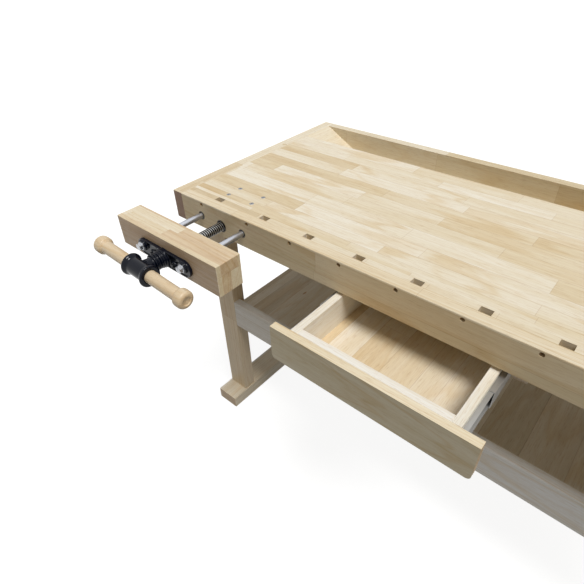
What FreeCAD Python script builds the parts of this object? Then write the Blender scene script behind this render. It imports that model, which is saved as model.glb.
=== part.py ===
"""Woodworking bench with a front vise, an end vise, a drawer, a shelf and a tool tray.

The bench is a knock-down one: two trestles, two bolted stretchers, a slatted-up top
with a row of dog holes, and two screw vises with cast hardware. Millimetres, +Z up.
The origin is on the floor, at the bottom centre of the bench's box with its vises and
drawer as they stand at rest. Lengths along the bench are counted from its left end,
depths from the front edge of the top, and drops downward from the worktop.
"""
import FreeCAD, Part
import Sketcher
import math
import os
import re

os.makedirs("parts", exist_ok=True)

# ---------------------------------------------------------------- driving sizes
SIZES = {
    # whole bench
    "bench_height": 850.0,        # floor to worktop
    "top_length": 1500.0,
    "top_depth": 680.0,
    "edge_ease": 1.0,             # small chamfer on the arrises of loose boards
    "overcut": 1.0,               # how far a cutting tool runs past a face
    # worktop
    "cap_width": 35.0,            # end caps across the ends of the top
    "apron_depth": 58.0,          # thick front edge that holds the dog holes
    "apron_height": 81.0,
    "dog_strip_front": 30.0,      # front of the dog holes, from the front edge
    "dog_wide": 24.5,             # dog hole, along the bench
    "dog_deep": 16.8,             # dog hole, front to back
    "dog_first": 148.5,           # centre of the first dog hole
    "dog_second": 308.5,          # centre of the second, where the even row starts
    "dog_pitch": 138.0,
    "dog_row_count": 9.0,         # holes in the even row
    "peg_radius": 5.0,            # side peg bores in the front face
    "peg_drop": 9.0,
    "peg_first": 116.0,
    "peg_second": 283.0,
    "panel_thick": 27.0,
    "rail_thick": 20.0,           # board that closes the panel towards the tray
    "tray_wide": 122.0,
    "back_thick": 29.0,           # board behind the tray
    "tray_drop": 66.0,            # worktop down to the tray's floor
    "tray_floor_thick": 12.0,
    "ramp_run": 122.0,            # length of the slope at each end of the tray
    "ramp_thick": 14.0,           # its board, measured upright
    "plug_radius": 7.0,
    "plug_depth": 8.0,
    "plug_inset": 26.5,           # centre of a plug from the end of the bench
    "plug_front": 79.0,
    "plug_rear": 428.0,
    # trestles
    "leg_inset": 34.5,            # end of the top to the outer face of a leg
    "leg_wide": 74.0,
    "leg_deep": 45.0,
    "leg_front": 67.0,
    "tenon_wide": 50.0,
    "top_tenon_wide": 25.0,       # the upper tenon goes into the narrower bearer
    "tenon_deep": 21.0,
    "tenon_long": 25.0,
    "foot_wide": 83.0,
    "foot_height": 45.0,
    "foot_front": 7.0,
    "foot_long": 666.0,
    "bearer_wide": 45.0,
    "bearer_drop": 110.0,         # worktop down to the underside of a bearer
    # lower frame
    "stretcher_drop": 386.0,      # worktop down to the top edge of a stretcher
    "stretcher_height": 98.0,
    "stretcher_thick": 25.0,
    "shelf_set": 15.0,            # top of the shelf below the stretchers' top edge
    "shelf_thick": 18.0,
    "shelf_board": 445.0,         # width of a full shelf board
    "cleat_size": 22.0,
    "bolt_radius": 4.0,
    "bolt_play": 0.3,
    "bolt_grip": 60.0,            # bolt into the end of the stretcher
    "bolt_head_radius": 6.5,
    "bolt_head_height": 5.0,
    "bolt_row": 28.0,             # bolts above and below the stretcher's middle
    "washer_radius": 9.0,
    "washer_thick": 1.6,
    "barrel_radius": 7.0,
    "barrel_long": 18.0,
    # drawer
    "drawer_centre": 737.5,
    "drawer_open": 222.5,         # how far out the drawer stands at rest
    "drawer_set": 52.0,           # face of the closed drawer behind the front edge
    "drawer_drop": 88.0,
    "face_wide": 449.0,
    "face_height": 90.0,
    "face_thick": 18.0,
    "face_round": 10.0,           # radius of its lower corners
    "drawer_wide": 368.0,         # outside of the drawer's box
    "drawer_deep": 450.0,
    "drawer_height": 88.0,
    "drawer_wall": 18.0,
    "drawer_floor_thick": 6.0,
    "drawer_floor_set": 5.0,      # underside of the floor above the sides' lower edge
    "groove_deep": 5.0,
    "hanger_thick": 28.0,
    "hanger_drop": 142.0,         # worktop to the lower edge of the slides
    "hanger_lip": 12.0,           # how far the hangers reach below their slides
    "face_gap": 1.0,              # closed drawer front to the hangers and fixed slides
    "slide_long": 445.0,
    "slide_thick": 13.0,
    "slide_height": 45.0,
    "slide_metal": 1.2,
    "slide_play": 0.4,
    # both vises
    "vise_axis": 186.5,           # screw from the corner of the top
    "front_gap": 107.0,           # jaw openings at rest
    "end_gap": 24.0,
    "jaw_inset": 1.9,
    "jaw_length": 370.0,
    "jaw_thick": 70.0,
    "jaw_height": 81.0,
    "screw_drop": 48.0,
    "screw_radius": 12.0,
    "screw_reach": 330.0,         # behind the bench's face with the jaw closed
    "screw_hole_radius": 15.0,
    "journal_radius": 10.0,
    "running_fit": 0.08,          # radial clearance of shafts in their bores
    "rod_drop": 42.0,
    "rod_offset": 76.5,           # guide rods on each side of the screw
    "rod_radius": 8.0,
    "rod_hole_radius": 9.5,
    "rod_seat": 0.2,              # radial clearance of a rod in the jaw's wood
    "plate_length": 198.0,
    "plate_height": 44.0,
    "plate_thick": 8.0,
    "boss_radius": 24.0,
    "boss_height": 18.0,
    "boss_rings": 3.0,            # turned rings on the boss, each a step smaller
    "ring_step": 1.5,
    "ring_wide": 4.0,
    "ring_deep": 2.5,
    "end_boss_radius": 15.0,
    "end_boss_height": 5.0,
    "rod_bolt_radius": 5.0,
    "rod_bolt_grip": 22.0,        # thread of the bolt inside the rod
    "rod_bolt_head": 9.8,         # corner radius of its hexagon
    "rod_bolt_head_height": 8.0,
    "rod_washer_radius": 10.5,
    "rod_washer_thick": 2.0,
    "lag_offset": 41.0,           # coach screws on each side of the screw
    "lag_drop": 52.0,
    "lag_boss_radius": 9.0,
    "lag_boss_height": 2.0,
    "lag_radius": 3.0,
    "lag_long": 36.0,
    "lag_head": 6.0,
    "lag_head_height": 4.0,
    "thrust_gap": 0.3,
    "thrust_radius": 14.0,
    "thrust_long": 8.0,
    "hub_reach": 71.0,            # jaw's outer face to the axis of the handle
    "hub_half": 38.0,
    "hub_radius": 21.0,
    "collar_radius": 27.0,
    "collar_wide": 6.0,
    "collar_flare": 6.0,
    "neck_radius": 16.0,
    "neck_ring_radius": 21.0,
    "neck_ring_wide": 4.5,
    "neck_groove_wide": 3.0,
    "neck_groove_deep": 3.0,
    "socket_deep": 28.0,
    "handle_radius": 15.8,
    "handle_play": 0.4,
    "handle_half": 134.5,         # middle of the handle to the shoulder of a knob
    "handle_tenon_radius": 9.0,
    "handle_tenon_long": 14.0,
    "knob_radius": 22.0,
    "knob_long": 30.0,
    "knob_flare": 8.0,            # length of the cove at a knob's shoulder
    "knob_round": 9.0,            # radius of its outer edge
    "knob_recess": 10.5,
    "knob_recess_deep": 2.0,
    "knob_dimple": 3.0,
    "front_turn": 3.0,            # how the handles stand, in degrees from level
    "end_turn": 7.0,
    # nut brackets under the top
    "front_bracket_set": 62.0,    # bench's face to the bracket
    "end_bracket_set": 106.0,
    "bracket_long": 65.0,
    "bracket_half": 53.0,
    "bracket_flange": 8.0,
    "nut_radius": 20.0,
    "sleeve_radius": 12.0,
    "sleeve_long": 40.0,
    "sleeve_start": 8.0,
    "arm_thick": 12.0,
    "arm_start": 22.0,
    "arm_height": 20.0,
    "mount_screw_radius": 3.0,
    "mount_head_radius": 6.0,
    "mount_half": 42.8,           # screws on each side of the axis
    "mount_start": 11.0,          # first pair from the front of the bracket
    "mount_pitch": 43.0,
    "mount_nut": 5.8,
    "mount_nut_height": 5.0,
}

doc = FreeCAD.newDocument("woodworking_bench")
sheet = doc.addObject("Spreadsheet::Sheet", "dims")
for row, (alias, size) in enumerate(SIZES.items(), start=1):
    sheet.set(f"A{row}", alias)
    sheet.set(f"B{row}", str(size))
    sheet.setAlias(f"B{row}", alias)
doc.recompute()


# ---------------------------------------------------------------- expressions
def cell(expression):
    """Turn the plain names of sizes into references to the sheet."""
    def refer(match):
        word = match.group()
        return "dims." + word if word in SIZES else word
    return re.sub(r"[A-Za-z_]\w*", refer, str(expression))


def number(expression):
    """The present value of an expression, for starting geometry."""
    return float(sheet.evalExpression(cell(expression)))


def bind(item, prop, expression):
    item.setExpression(prop, cell(expression))


def place(item, x, y, z, yaw="0", pitch="0", roll="0"):
    """Bind a placement: a point, then turns about Z, Y and X."""
    point = f"create(<<vector>>; {x}; {y}; {z})"
    turn = f"create(<<rotation>>; {yaw}; {pitch}; {roll})"
    bind(item, "Placement", f"create(<<placement>>; {point}; {turn})")


# Where the bench's left end, front edge and worktop lie in the row's frame.
VISE_REACH = "jaw_thick + hub_reach + collar_radius"
LEFT = f"(0 - (top_length + end_gap + {VISE_REACH}) / 2)"
FRONT = f"((front_gap + {VISE_REACH} - top_depth) / 2)"
TOP = "bench_height"

# Lines that several pieces share.
RIGHT_CAP = "(top_length - cap_width)"
PANEL_LENGTH = "(top_length - 2 * cap_width)"
DOG_STRIP_REAR = "(dog_strip_front + dog_deep)"
BACK_FRONT = "(top_depth - back_thick)"
TRAY_FRONT = "(top_depth - back_thick - tray_wide)"
RAIL_FRONT = "(top_depth - back_thick - tray_wide - rail_thick)"
LEG_INNER = "(leg_inset + leg_wide)"
LEG_REAR_BACK = "(foot_long + 2 * foot_front - leg_front)"
LEG_REAR = f"({LEG_REAR_BACK} - leg_deep)"
LEG_TOP = "(bench_height - bearer_drop)"
LEG_LONG = f"({LEG_TOP} - foot_height)"
STRETCHER_LONG = "(top_length - 2 * leg_inset - 2 * leg_wide)"
STRETCHER_BASE = "(bench_height - stretcher_drop - stretcher_height)"
SHELF_BASE = "(bench_height - stretcher_drop - shelf_set - shelf_thick)"
FACE_BACK = "(drawer_set - drawer_open + face_thick)"
HANGER_FRONT = "(drawer_set + face_thick + face_gap)"
FLOOR_LEFT = "(drawer_wall - groove_deep - drawer_wide / 2)"
FLOOR_FRONT = "(drawer_wall - groove_deep)"
FLOOR_WIDE = "(drawer_wide - 2 * drawer_wall + 2 * groove_deep)"
FLOOR_DEEP = "(drawer_deep - 2 * drawer_wall + 2 * groove_deep)"
NECK_LONG = "(hub_reach - plate_thick - boss_height - thrust_gap)"
VISE_HOLES = (("0", "screw_hole_radius", "screw_drop"),
              ("(0 - rod_offset)", "rod_hole_radius", "rod_drop"),
              ("rod_offset", "rod_hole_radius", "rod_drop"))
TURNS = {"X": ("0", "90", "0"), "Y": ("0", "0", "-90"), "Z": ("0", "0", "0")}

nodes = []


def keep(*items):
    nodes.extend(items)


# ---------------------------------------------------------------- small makers
def body(label):
    item = doc.addObject("PartDesign::Body", label)
    item.Label = label
    return item


def block(owner, kind, x, y, z, length, width, height):
    """An added or cut box inside a body; kind is Additive or Subtractive."""
    item = owner.newObject(f"PartDesign::{kind}Box", "block")
    bind(item, "Length", length)
    bind(item, "Width", width)
    bind(item, "Height", height)
    place(item, x, y, z)
    return item


def bar(owner, kind, x, y, z, axis, radius, height):
    """An added or cut cylinder that runs along +X, +Y or +Z."""
    item = owner.newObject(f"PartDesign::{kind}Cylinder", "bar")
    bind(item, "Radius", radius)
    bind(item, "Height", height)
    place(item, x, y, z, *TURNS[axis])
    return item


def hexagon(owner, x, axis, corner_radius, height):
    """A hexagonal head or nut that starts at x on the body's own X axis."""
    item = owner.newObject("PartDesign::AdditivePrism", "hexagon")
    item.Polygon = 6
    bind(item, "Circumradius", corner_radius)
    bind(item, "Height", height)
    place(item, x, "0", "0", *TURNS[axis])
    return item


def ease(owner, feature):
    """Chamfer every arris of a board."""
    doc.recompute()
    item = owner.newObject("PartDesign::Chamfer", "eased_edges")
    item.Base = (feature, ["Face1"])
    item.UseAllEdges = True
    bind(item, "Size", "edge_ease")
    return item


def bench_place(item, x, y, z):
    """Place a piece by its left front lower corner, in the bench's own distances."""
    place(item, f"{LEFT} + {x}", f"{FRONT} + {y}", z)


def board(label, x, y, z, length, width, height):
    """A sawn board with eased edges."""
    item = body(label)
    ease(item, block(item, "Additive", "0", "0", "0", length, width, height))
    bench_place(item, x, y, z)
    return item


def glued_board(label, x, y, z, length, width, height):
    """A board with sharp edges, as where it is glued into the top."""
    item = body(label)
    block(item, "Additive", "0", "0", "0", length, width, height)
    bench_place(item, x, y, z)
    return item


def arc_edge(start, end, radius):
    """The short arc from start to end; a positive radius turns left."""
    (x0, y0), (x1, y1) = start, end
    half = math.hypot(x1 - x0, y1 - y0) / 2
    side = 1 if radius > 0 else -1
    rise = side * math.sqrt(max(radius * radius - half * half, 0.0)) / (2 * half)
    cx = (x0 + x1) / 2 - rise * (y1 - y0)
    cy = (y0 + y1) / 2 + rise * (x1 - x0)
    circle = Part.Circle(FreeCAD.Vector(cx, cy, 0), FreeCAD.Vector(0, 0, 1), abs(radius))
    first = math.atan2(y0 - cy, x0 - cx)
    last = math.atan2(y1 - cy, x1 - cx)
    if radius < 0:
        first, last = last, first
    return Part.ArcOfCircle(circle, first, last)


def profile(owner, role, points):
    """A closed sketch on one of the body's own planes, every corner tied to the sheet.

    A point is (x, y), or (x, y, radius) where an arc leads to it; the radius is
    negative where that arc turns right.
    """
    plane = [item for item in owner.Origin.OriginFeatures if item.Role == role][0]
    sketch = owner.newObject("Sketcher::SketchObject", "profile")
    sketch.AttachmentSupport = (plane, "")
    sketch.MapMode = "FlatFace"
    spots = [(number(point[0]), number(point[1])) for point in points]
    ends = []
    for index, spot in enumerate(spots):
        follower = (index + 1) % len(spots)
        goal = spots[follower]
        if len(points[follower]) == 2:
            line = Part.LineSegment(FreeCAD.Vector(*spot, 0), FreeCAD.Vector(*goal, 0))
            ends.append((sketch.addGeometry(line), 1, 2))
            continue
        bend = points[follower][2]
        radius = number(bend)
        arc = sketch.addGeometry(arc_edge(spot, goal, radius))
        ends.append((arc, 1, 2) if radius > 0 else (arc, 2, 1))
        rule = sketch.addConstraint(Sketcher.Constraint("Radius", arc, abs(radius)))
        bind(sketch, f"Constraints[{rule}]", f"abs({bend})")
    for index, (edge, start, _) in enumerate(ends):
        before, _, finish = ends[index - 1]
        sketch.addConstraint(Sketcher.Constraint("Coincident", before, finish, edge, start))
        for kind, axis in (("DistanceX", 0), ("DistanceY", 1)):
            rule = sketch.addConstraint(Sketcher.Constraint(kind, edge, start, spots[index][axis]))
            bind(sketch, f"Constraints[{rule}]", points[index][axis])
    return sketch


def pad(owner, role, points, length, reverse=False):
    item = owner.newObject("PartDesign::Pad", "pad")
    item.Profile = profile(owner, role, points)
    item.Reversed = reverse
    bind(item, "Length", length)
    return item


def revolve(owner, points, axis):
    """Turn an outline of the XY plane about the body's X axis (H) or Y axis (V)."""
    sketch = profile(owner, "XY_Plane", points)
    item = owner.newObject("PartDesign::Revolution", "turning")
    item.Profile = sketch
    item.ReferenceAxis = (sketch, [f"{axis}_Axis"])
    item.Angle = 360
    return item


def turned(label, steps):
    """A solid piece turned about its own X axis, from (position, radius) steps."""
    item = body(label)
    revolve(item, [(steps[0][0], "0")] + steps + [(steps[-1][0], "0")], "H")
    return item


def group(label, pieces):
    """Several separate solids of one kind in one node."""
    item = doc.addObject("Part::Compound", label)
    item.Label = label
    item.Links = pieces
    return item


# ---------------------------------------------------------------- worktop
def bore_for_vise(owner, axis, corner, base_drop, through):
    """Clearance holes for a vise's screw and rods, along X or Y through one piece."""
    for offset, radius, drop in VISE_HOLES:
        along = f"vise_axis + {offset} - {corner}"
        x, y = ("-overcut", along) if axis == "X" else (along, "-overcut")
        bar(owner, "Subtractive", x, y, f"{base_drop} - {drop}", axis, radius, f"{through} + 2 * overcut")


def row_centres(first, second):
    """Centres of a row that has one odd hole at its left end."""
    even = [f"({second} + {index} * dog_pitch)" for index in range(int(SIZES["dog_row_count"]))]
    return [first] + even


def apron_front_lamination():
    """Front of the apron, with the side peg bores and the vise's holes."""
    item = body("apron_front_lamination")
    pad(item, "YZ_Plane", [("0", "2 * edge_ease"), ("2 * edge_ease", "0"), ("dog_strip_front", "0"),
                           ("dog_strip_front", "apron_height"), ("edge_ease", "apron_height"),
                           ("0", "apron_height - edge_ease")], PANEL_LENGTH)
    bore_for_vise(item, "Y", "cap_width", "apron_height", "dog_strip_front")
    for centre in row_centres("peg_first", "peg_second"):
        bar(item, "Subtractive", f"{centre} - cap_width", "-overcut", "apron_height - peg_drop",
            "Y", "peg_radius", "dog_strip_front + 2 * overcut")
    bench_place(item, "cap_width", "0", f"{TOP} - apron_height")
    return item


def strip_box(name, start, length):
    item = doc.addObject("Part::Box", name)
    bind(item, "Length", length)
    bind(item, "Width", "dog_deep")
    bind(item, "Height", "apron_height")
    bench_place(item, start, "dog_strip_front", f"{TOP} - apron_height")
    return item


def dog_hole_blocks():
    """Middle lamination: the blocks that stand between the dog holes."""
    cutters = []
    for centre in row_centres("dog_first", "dog_second"):
        cutters.append(strip_box("dog_hole", f"{centre} - dog_wide / 2", "dog_wide"))
    for offset, radius, drop in VISE_HOLES:
        hole = doc.addObject("Part::Cylinder", "vise_hole")
        bind(hole, "Radius", radius)
        bind(hole, "Height", "dog_deep + 2 * overcut")
        place(hole, f"{LEFT} + vise_axis + {offset}", f"{FRONT} + dog_strip_front - overcut",
              f"{TOP} - {drop}", *TURNS["Y"])
        cutters.append(hole)
    holes = doc.addObject("Part::MultiFuse", "dog_strip_holes")
    holes.Shapes = cutters
    item = doc.addObject("Part::Cut", "dog_hole_blocks")
    item.Label = "dog_hole_blocks"
    item.Base = strip_box("dog_strip", "cap_width", PANEL_LENGTH)
    item.Tool = holes
    return item


def apron_rear_lamination():
    item = glued_board("apron_rear_lamination", "cap_width", DOG_STRIP_REAR, f"{TOP} - apron_height",
                       PANEL_LENGTH, f"apron_depth - {DOG_STRIP_REAR}", "apron_height")
    bore_for_vise(item, "Y", "cap_width", "apron_height", f"apron_depth - {DOG_STRIP_REAR}")
    return item


def bracket_screw_spots(set_back):
    """The four screws of a nut bracket, as distances (along, inward) from the vise's datum."""
    return [(f"{side} * mount_half", f"({set_back} + mount_start + {step} * mount_pitch)")
            for side in (-1, 1) for step in (0, 1)]


def screw_hole(owner, x, y):
    """A countersunk hole down through the panel."""
    bar(owner, "Subtractive", x, y, "-overcut", "Z", "mount_screw_radius + bolt_play",
        "panel_thick + 2 * overcut")
    item = owner.newObject("PartDesign::SubtractiveCone", "countersink")
    bind(item, "Radius1", "mount_screw_radius + bolt_play")
    bind(item, "Radius2", "mount_head_radius + bolt_play")
    bind(item, "Height", "mount_head_radius - mount_screw_radius")
    place(item, x, y, "panel_thick - mount_head_radius + mount_screw_radius")


def top_panel():
    """The slab between the caps, drilled for the screws of both nut brackets."""
    item = glued_board("top_panel", "cap_width", "apron_depth", f"{TOP} - panel_thick",
                       PANEL_LENGTH, f"{TRAY_FRONT} - apron_depth", "panel_thick")
    for along, inward in bracket_screw_spots("front_bracket_set"):
        screw_hole(item, f"vise_axis + {along} - cap_width", f"{inward} - apron_depth")
    for along, inward in bracket_screw_spots("end_bracket_set"):
        screw_hole(item, f"top_length - {inward} - cap_width", f"vise_axis + {along} - apron_depth")
    return item


def end_cap(label, x, plug_x):
    item = board(label, x, "0", f"{TOP} - apron_height", "cap_width", "top_depth", "apron_height")
    for y in ("plug_front", "plug_rear"):
        bar(item, "Subtractive", plug_x, y, "apron_height - plug_depth", "Z",
            "plug_radius", "plug_depth + overcut")
    return item


def cap_plugs():
    """Plugs over the bolts that pull the caps onto the top."""
    plugs = []
    steps = [("0", "plug_radius - edge_ease / 2"), ("edge_ease / 2", "plug_radius"),
             ("plug_depth", "plug_radius")]
    for x in ("plug_inset", "top_length - plug_inset"):
        for y in ("plug_front", "plug_rear"):
            plug = turned("cap_plug", steps)
            place(plug, f"{LEFT} + {x}", f"{FRONT} + {y}", TOP, "0", "90")
            plugs.append(plug)
    return group("cap_plugs", plugs)


def tray_ramp(label, x, side):
    """The sloping board at one end of the tray; side is 1 where it falls to the right."""
    item = body(label)
    foot = "(ramp_run - ramp_thick * ramp_run / tray_drop)"
    corners = [("0", "0"), ("ramp_run", "-tray_drop"), (foot, "-tray_drop"), ("0", "-ramp_thick")]
    pad(item, "XZ_Plane", [(f"{side} * {along}", up) for along, up in corners], "tray_wide", reverse=True)
    bench_place(item, x, TRAY_FRONT, TOP)
    return item


def worktop():
    keep(top_panel(), apron_front_lamination(), dog_hole_blocks(), apron_rear_lamination())
    right_cap = end_cap("end_cap_right", RIGHT_CAP, "cap_width - plug_inset")
    bore_for_vise(right_cap, "X", "0", "apron_height", "cap_width")
    keep(end_cap("end_cap_left", "0", "plug_inset"), right_cap, cap_plugs())
    low = f"{TOP} - apron_height"
    keep(glued_board("tray_rail", "cap_width", RAIL_FRONT, low,
                     PANEL_LENGTH, "rail_thick", "apron_height - panel_thick"))
    keep(glued_board("tray_floor", "cap_width", TRAY_FRONT, f"{TOP} - tray_drop - tray_floor_thick",
                     PANEL_LENGTH, "tray_wide", "tray_floor_thick"))
    keep(board("back_board", "cap_width", BACK_FRONT, low, PANEL_LENGTH, "back_thick", "apron_height"))
    keep(tray_ramp("tray_ramp_left", "cap_width", 1), tray_ramp("tray_ramp_right", RIGHT_CAP, -1))


# ---------------------------------------------------------------- trestles
def leg(label, x, y, bolt_y):
    """An upright with a tenon at each end and bolt holes across its width."""
    item = body(label)
    ease(item, block(item, "Additive", "0", "0", "0", "leg_wide", "leg_deep", LEG_LONG))
    tenon_y = "(leg_deep - tenon_deep) / 2"
    for wide, z in (("tenon_wide", "-tenon_long"), ("top_tenon_wide", LEG_LONG)):
        block(item, "Additive", f"(leg_wide - {wide}) / 2", tenon_y, z, wide, "tenon_deep", "tenon_long")
    for height in bolt_heights():
        bar(item, "Subtractive", "-overcut", bolt_y, f"{height} - foot_height", "X",
            "bolt_radius + bolt_play", "leg_wide + 2 * overcut")
    bench_place(item, x, y, "foot_height")
    return item


def bolt_heights():
    """The two bolts of a joint, from the floor."""
    return [f"({STRETCHER_BASE} + stretcher_height / 2 + {side} * bolt_row)" for side in (-1, 1)]


def mortises(item, middle, corner_y, z, wide, rise):
    """Sockets for the tenons of both legs of a trestle."""
    for y in ("leg_front", LEG_REAR):
        start = f"{y} + (leg_deep - tenon_deep) / 2 - {corner_y}"
        block(item, "Subtractive", f"{middle} - {wide} / 2", start, z, wide, "tenon_deep", rise)


def foot(label, middle):
    item = board(label, f"{middle} - foot_wide / 2", "foot_front", "0",
                 "foot_wide", "foot_long", "foot_height")
    mortises(item, "foot_wide / 2", "foot_front", "foot_height - tenon_long",
             "tenon_wide", "tenon_long + overcut")
    return item


def bearer(label, middle):
    """The rail on top of a trestle, let down at the back under the tray."""
    item = body(label)
    rear = f"{LEG_REAR_BACK} - apron_depth"
    step = f"{RAIL_FRONT} - apron_depth"
    low_top = "bearer_drop - apron_height"
    high_top = "bearer_drop - panel_thick"
    pad(item, "YZ_Plane", [("0", "0"), (rear, "0"), (rear, low_top), (step, low_top), (step, high_top),
                           ("0", high_top)], "bearer_wide")
    mortises(item, "bearer_wide / 2", "apron_depth", "-overcut", "top_tenon_wide", "tenon_long + overcut")
    bench_place(item, f"{middle} - bearer_wide / 2", "apron_depth", LEG_TOP)
    return item


def trestles():
    for side, middle in (("left", "(leg_inset + leg_wide / 2)"),
                         ("right", "(top_length - leg_inset - leg_wide / 2)")):
        keep(foot(f"foot_{side}", middle))
        rail = bearer(f"bearer_{side}", middle)
        if side == "right":
            bore_for_vise(rail, "X", "apron_depth", "bearer_drop", "bearer_wide")
        keep(rail)
        corner = f"{middle} - leg_wide / 2"
        keep(leg(f"leg_front_{side}", corner, "leg_front", "stretcher_thick / 2"))
        keep(leg(f"leg_rear_{side}", corner, LEG_REAR, "leg_deep - stretcher_thick / 2"))


# ---------------------------------------------------------------- stretchers and shelf
def stretcher(label, y, barrel_y):
    """A long rail, bored in its ends for bolts and in its inner face for barrel nuts."""
    item = board(label, LEG_INNER, y, STRETCHER_BASE, STRETCHER_LONG, "stretcher_thick", "stretcher_height")
    for side in (-1, 1):
        z = f"stretcher_height / 2 + {side} * bolt_row"
        for x in ("-overcut", f"{STRETCHER_LONG} - bolt_grip"):
            bar(item, "Subtractive", x, "stretcher_thick / 2", z, "X",
                "bolt_radius + bolt_play", "bolt_grip + overcut")
        for x in ("bolt_grip - barrel_radius", f"{STRETCHER_LONG} - bolt_grip + barrel_radius"):
            bar(item, "Subtractive", x, barrel_y, z, "Y", "barrel_radius", "barrel_long + overcut")
    return item


def stretcher_bolt(x, y, z, yaw):
    """A bolt and its washer, turned from the washer's seat."""
    head = "(0 - washer_thick - bolt_head_height)"
    item = turned("stretcher_bolt", [(head, "bolt_head_radius - edge_ease"),
                                     (f"{head} + edge_ease", "bolt_head_radius"),
                                     ("0 - washer_thick", "bolt_head_radius"),
                                     ("0 - washer_thick", "washer_radius"),
                                     ("0", "washer_radius"), ("0", "bolt_radius"),
                                     ("leg_wide + bolt_grip - overcut", "bolt_radius")])
    place(item, f"{LEFT} + {x}", f"{FRONT} + {y}", z, yaw)
    return item


def barrel_nut(x, y, z, bolt_y):
    item = body("barrel_nut")
    bar(item, "Additive", "0", "0", "0", "Y", "barrel_radius", "barrel_long")
    bar(item, "Subtractive", "0 - barrel_radius - overcut", f"{bolt_y} - {y}", "0", "X",
        "bolt_radius", "2 * barrel_radius + 2 * overcut")
    bench_place(item, x, y, z)
    return item


def stretcher_fasteners():
    bolts = []
    barrels = []
    inner = f"{LEG_INNER} + bolt_grip - barrel_radius"
    lines = (("(leg_front + stretcher_thick / 2)", "(leg_front + stretcher_thick - barrel_long)"),
             (f"({LEG_REAR_BACK} - stretcher_thick / 2)", f"({LEG_REAR_BACK} - stretcher_thick)"))
    for bolt_y, barrel_y in lines:
        for z in bolt_heights():
            bolts.append(stretcher_bolt("leg_inset", bolt_y, z, "0"))
            bolts.append(stretcher_bolt("top_length - leg_inset", bolt_y, z, "180"))
            barrels.append(barrel_nut(inner, barrel_y, z, bolt_y))
            barrels.append(barrel_nut(f"top_length - ({inner})", barrel_y, z, bolt_y))
    keep(group("stretcher_bolts", bolts), group("barrel_nuts", barrels))


def shelf():
    """Boards laid front to back between the stretchers, on two cleats."""
    front = "(leg_front + stretcher_thick)"
    depth = f"({LEG_REAR_BACK} - leg_front - 2 * stretcher_thick)"
    last = f"({STRETCHER_LONG} - 2 * shelf_board)"
    boards = [board("shelf_board_piece", f"{LEG_INNER} + {index} * shelf_board", front, SHELF_BASE,
                    width, depth, "shelf_thick")
              for index, width in enumerate(("shelf_board", "shelf_board", last))]
    cleats = [board("shelf_cleat", LEG_INNER, y, f"{SHELF_BASE} - cleat_size",
                    STRETCHER_LONG, "cleat_size", "cleat_size")
              for y in (front, f"{front} + {depth} - cleat_size")]
    keep(group("shelf_boards", boards), group("shelf_cleats", cleats))


def lower_frame():
    keep(stretcher("stretcher_front", "leg_front", "stretcher_thick - barrel_long"))
    keep(stretcher("stretcher_rear", f"{LEG_REAR_BACK} - stretcher_thick", "-overcut"))
    stretcher_fasteners()
    shelf()


# ---------------------------------------------------------------- drawer
def drawer_place(item, x, y, z):
    """Place a piece from the middle of the drawer, the back of its face and its top edge."""
    bench_place(item, f"drawer_centre + {x}", f"{FACE_BACK} + {y}", f"{TOP} - drawer_drop + {z}")


def drawer_front():
    """The plain face, with its two lower corners rounded."""
    item = body("drawer_front")
    left, right = "(0 - face_wide / 2)", "(face_wide / 2)"
    low, bend = "(0 - face_height)", "face_round"
    pad(item, "XZ_Plane", [(left, "0"), (left, f"{low} + {bend}"), (f"{left} + {bend}", low, bend),
                           (f"{right} - {bend}", low), (right, f"{low} + {bend}", bend), (right, "0")],
        "face_thick")
    drawer_place(item, "0", "0", "0")
    return item


def drawer_panel(label, x, y, length, width):
    """One wall of the drawer, grooved for its floor."""
    item = body(label)
    ease(item, block(item, "Additive", "0", "0", "0", length, width, "drawer_height"))
    block(item, "Subtractive", f"{FLOOR_LEFT} - ({x})", f"{FLOOR_FRONT} - ({y})", "drawer_floor_set",
          FLOOR_WIDE, FLOOR_DEEP, "drawer_floor_thick")
    drawer_place(item, x, y, "(0 - drawer_height)")
    return item


def drawer():
    inside = "drawer_wide - 2 * drawer_wall"
    left, right = "(0 - drawer_wide / 2)", "(drawer_wide / 2 - drawer_wall)"
    between = f"({left} + drawer_wall)"
    keep(drawer_front())
    keep(drawer_panel("drawer_side_left", left, "0", "drawer_wall", "drawer_deep"))
    keep(drawer_panel("drawer_side_right", right, "0", "drawer_wall", "drawer_deep"))
    keep(drawer_panel("drawer_inner_front", between, "0", inside, "drawer_wall"))
    keep(drawer_panel("drawer_back", between, "(drawer_deep - drawer_wall)", inside, "drawer_wall"))
    floor = body("drawer_bottom")
    block(floor, "Additive", "0", "0", "0", FLOOR_WIDE, FLOOR_DEEP, "drawer_floor_thick")
    drawer_place(floor, FLOOR_LEFT, FLOOR_FRONT, "drawer_floor_set - drawer_height")
    keep(floor)


def channel(side, web_out, web_in, tip, inset, y):
    """One member of a slide: a web with a lip at its top and bottom edge.

    The web's two faces and the lips' tips are counted out from the drawer's side, and
    inset is how far the member lies inside the slide's full height. Side is -1 or 1.
    """
    item = body("slide_member")
    low, high = inset, f"slide_height - {inset}"
    sill, lintel = f"{low} + slide_metal", f"{high} - slide_metal"
    corners = [(web_out, low), (tip, low), (tip, sill), (web_in, sill),
               (web_in, lintel), (tip, lintel), (tip, high), (web_out, high)]
    pad(item, "XZ_Plane", [(f"{side} * {out}", up) for out, up in corners], "slide_long", reverse=True)
    bench_place(item, f"drawer_centre + {side} * drawer_wide / 2", y, f"{TOP} - hanger_drop")
    return item


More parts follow.
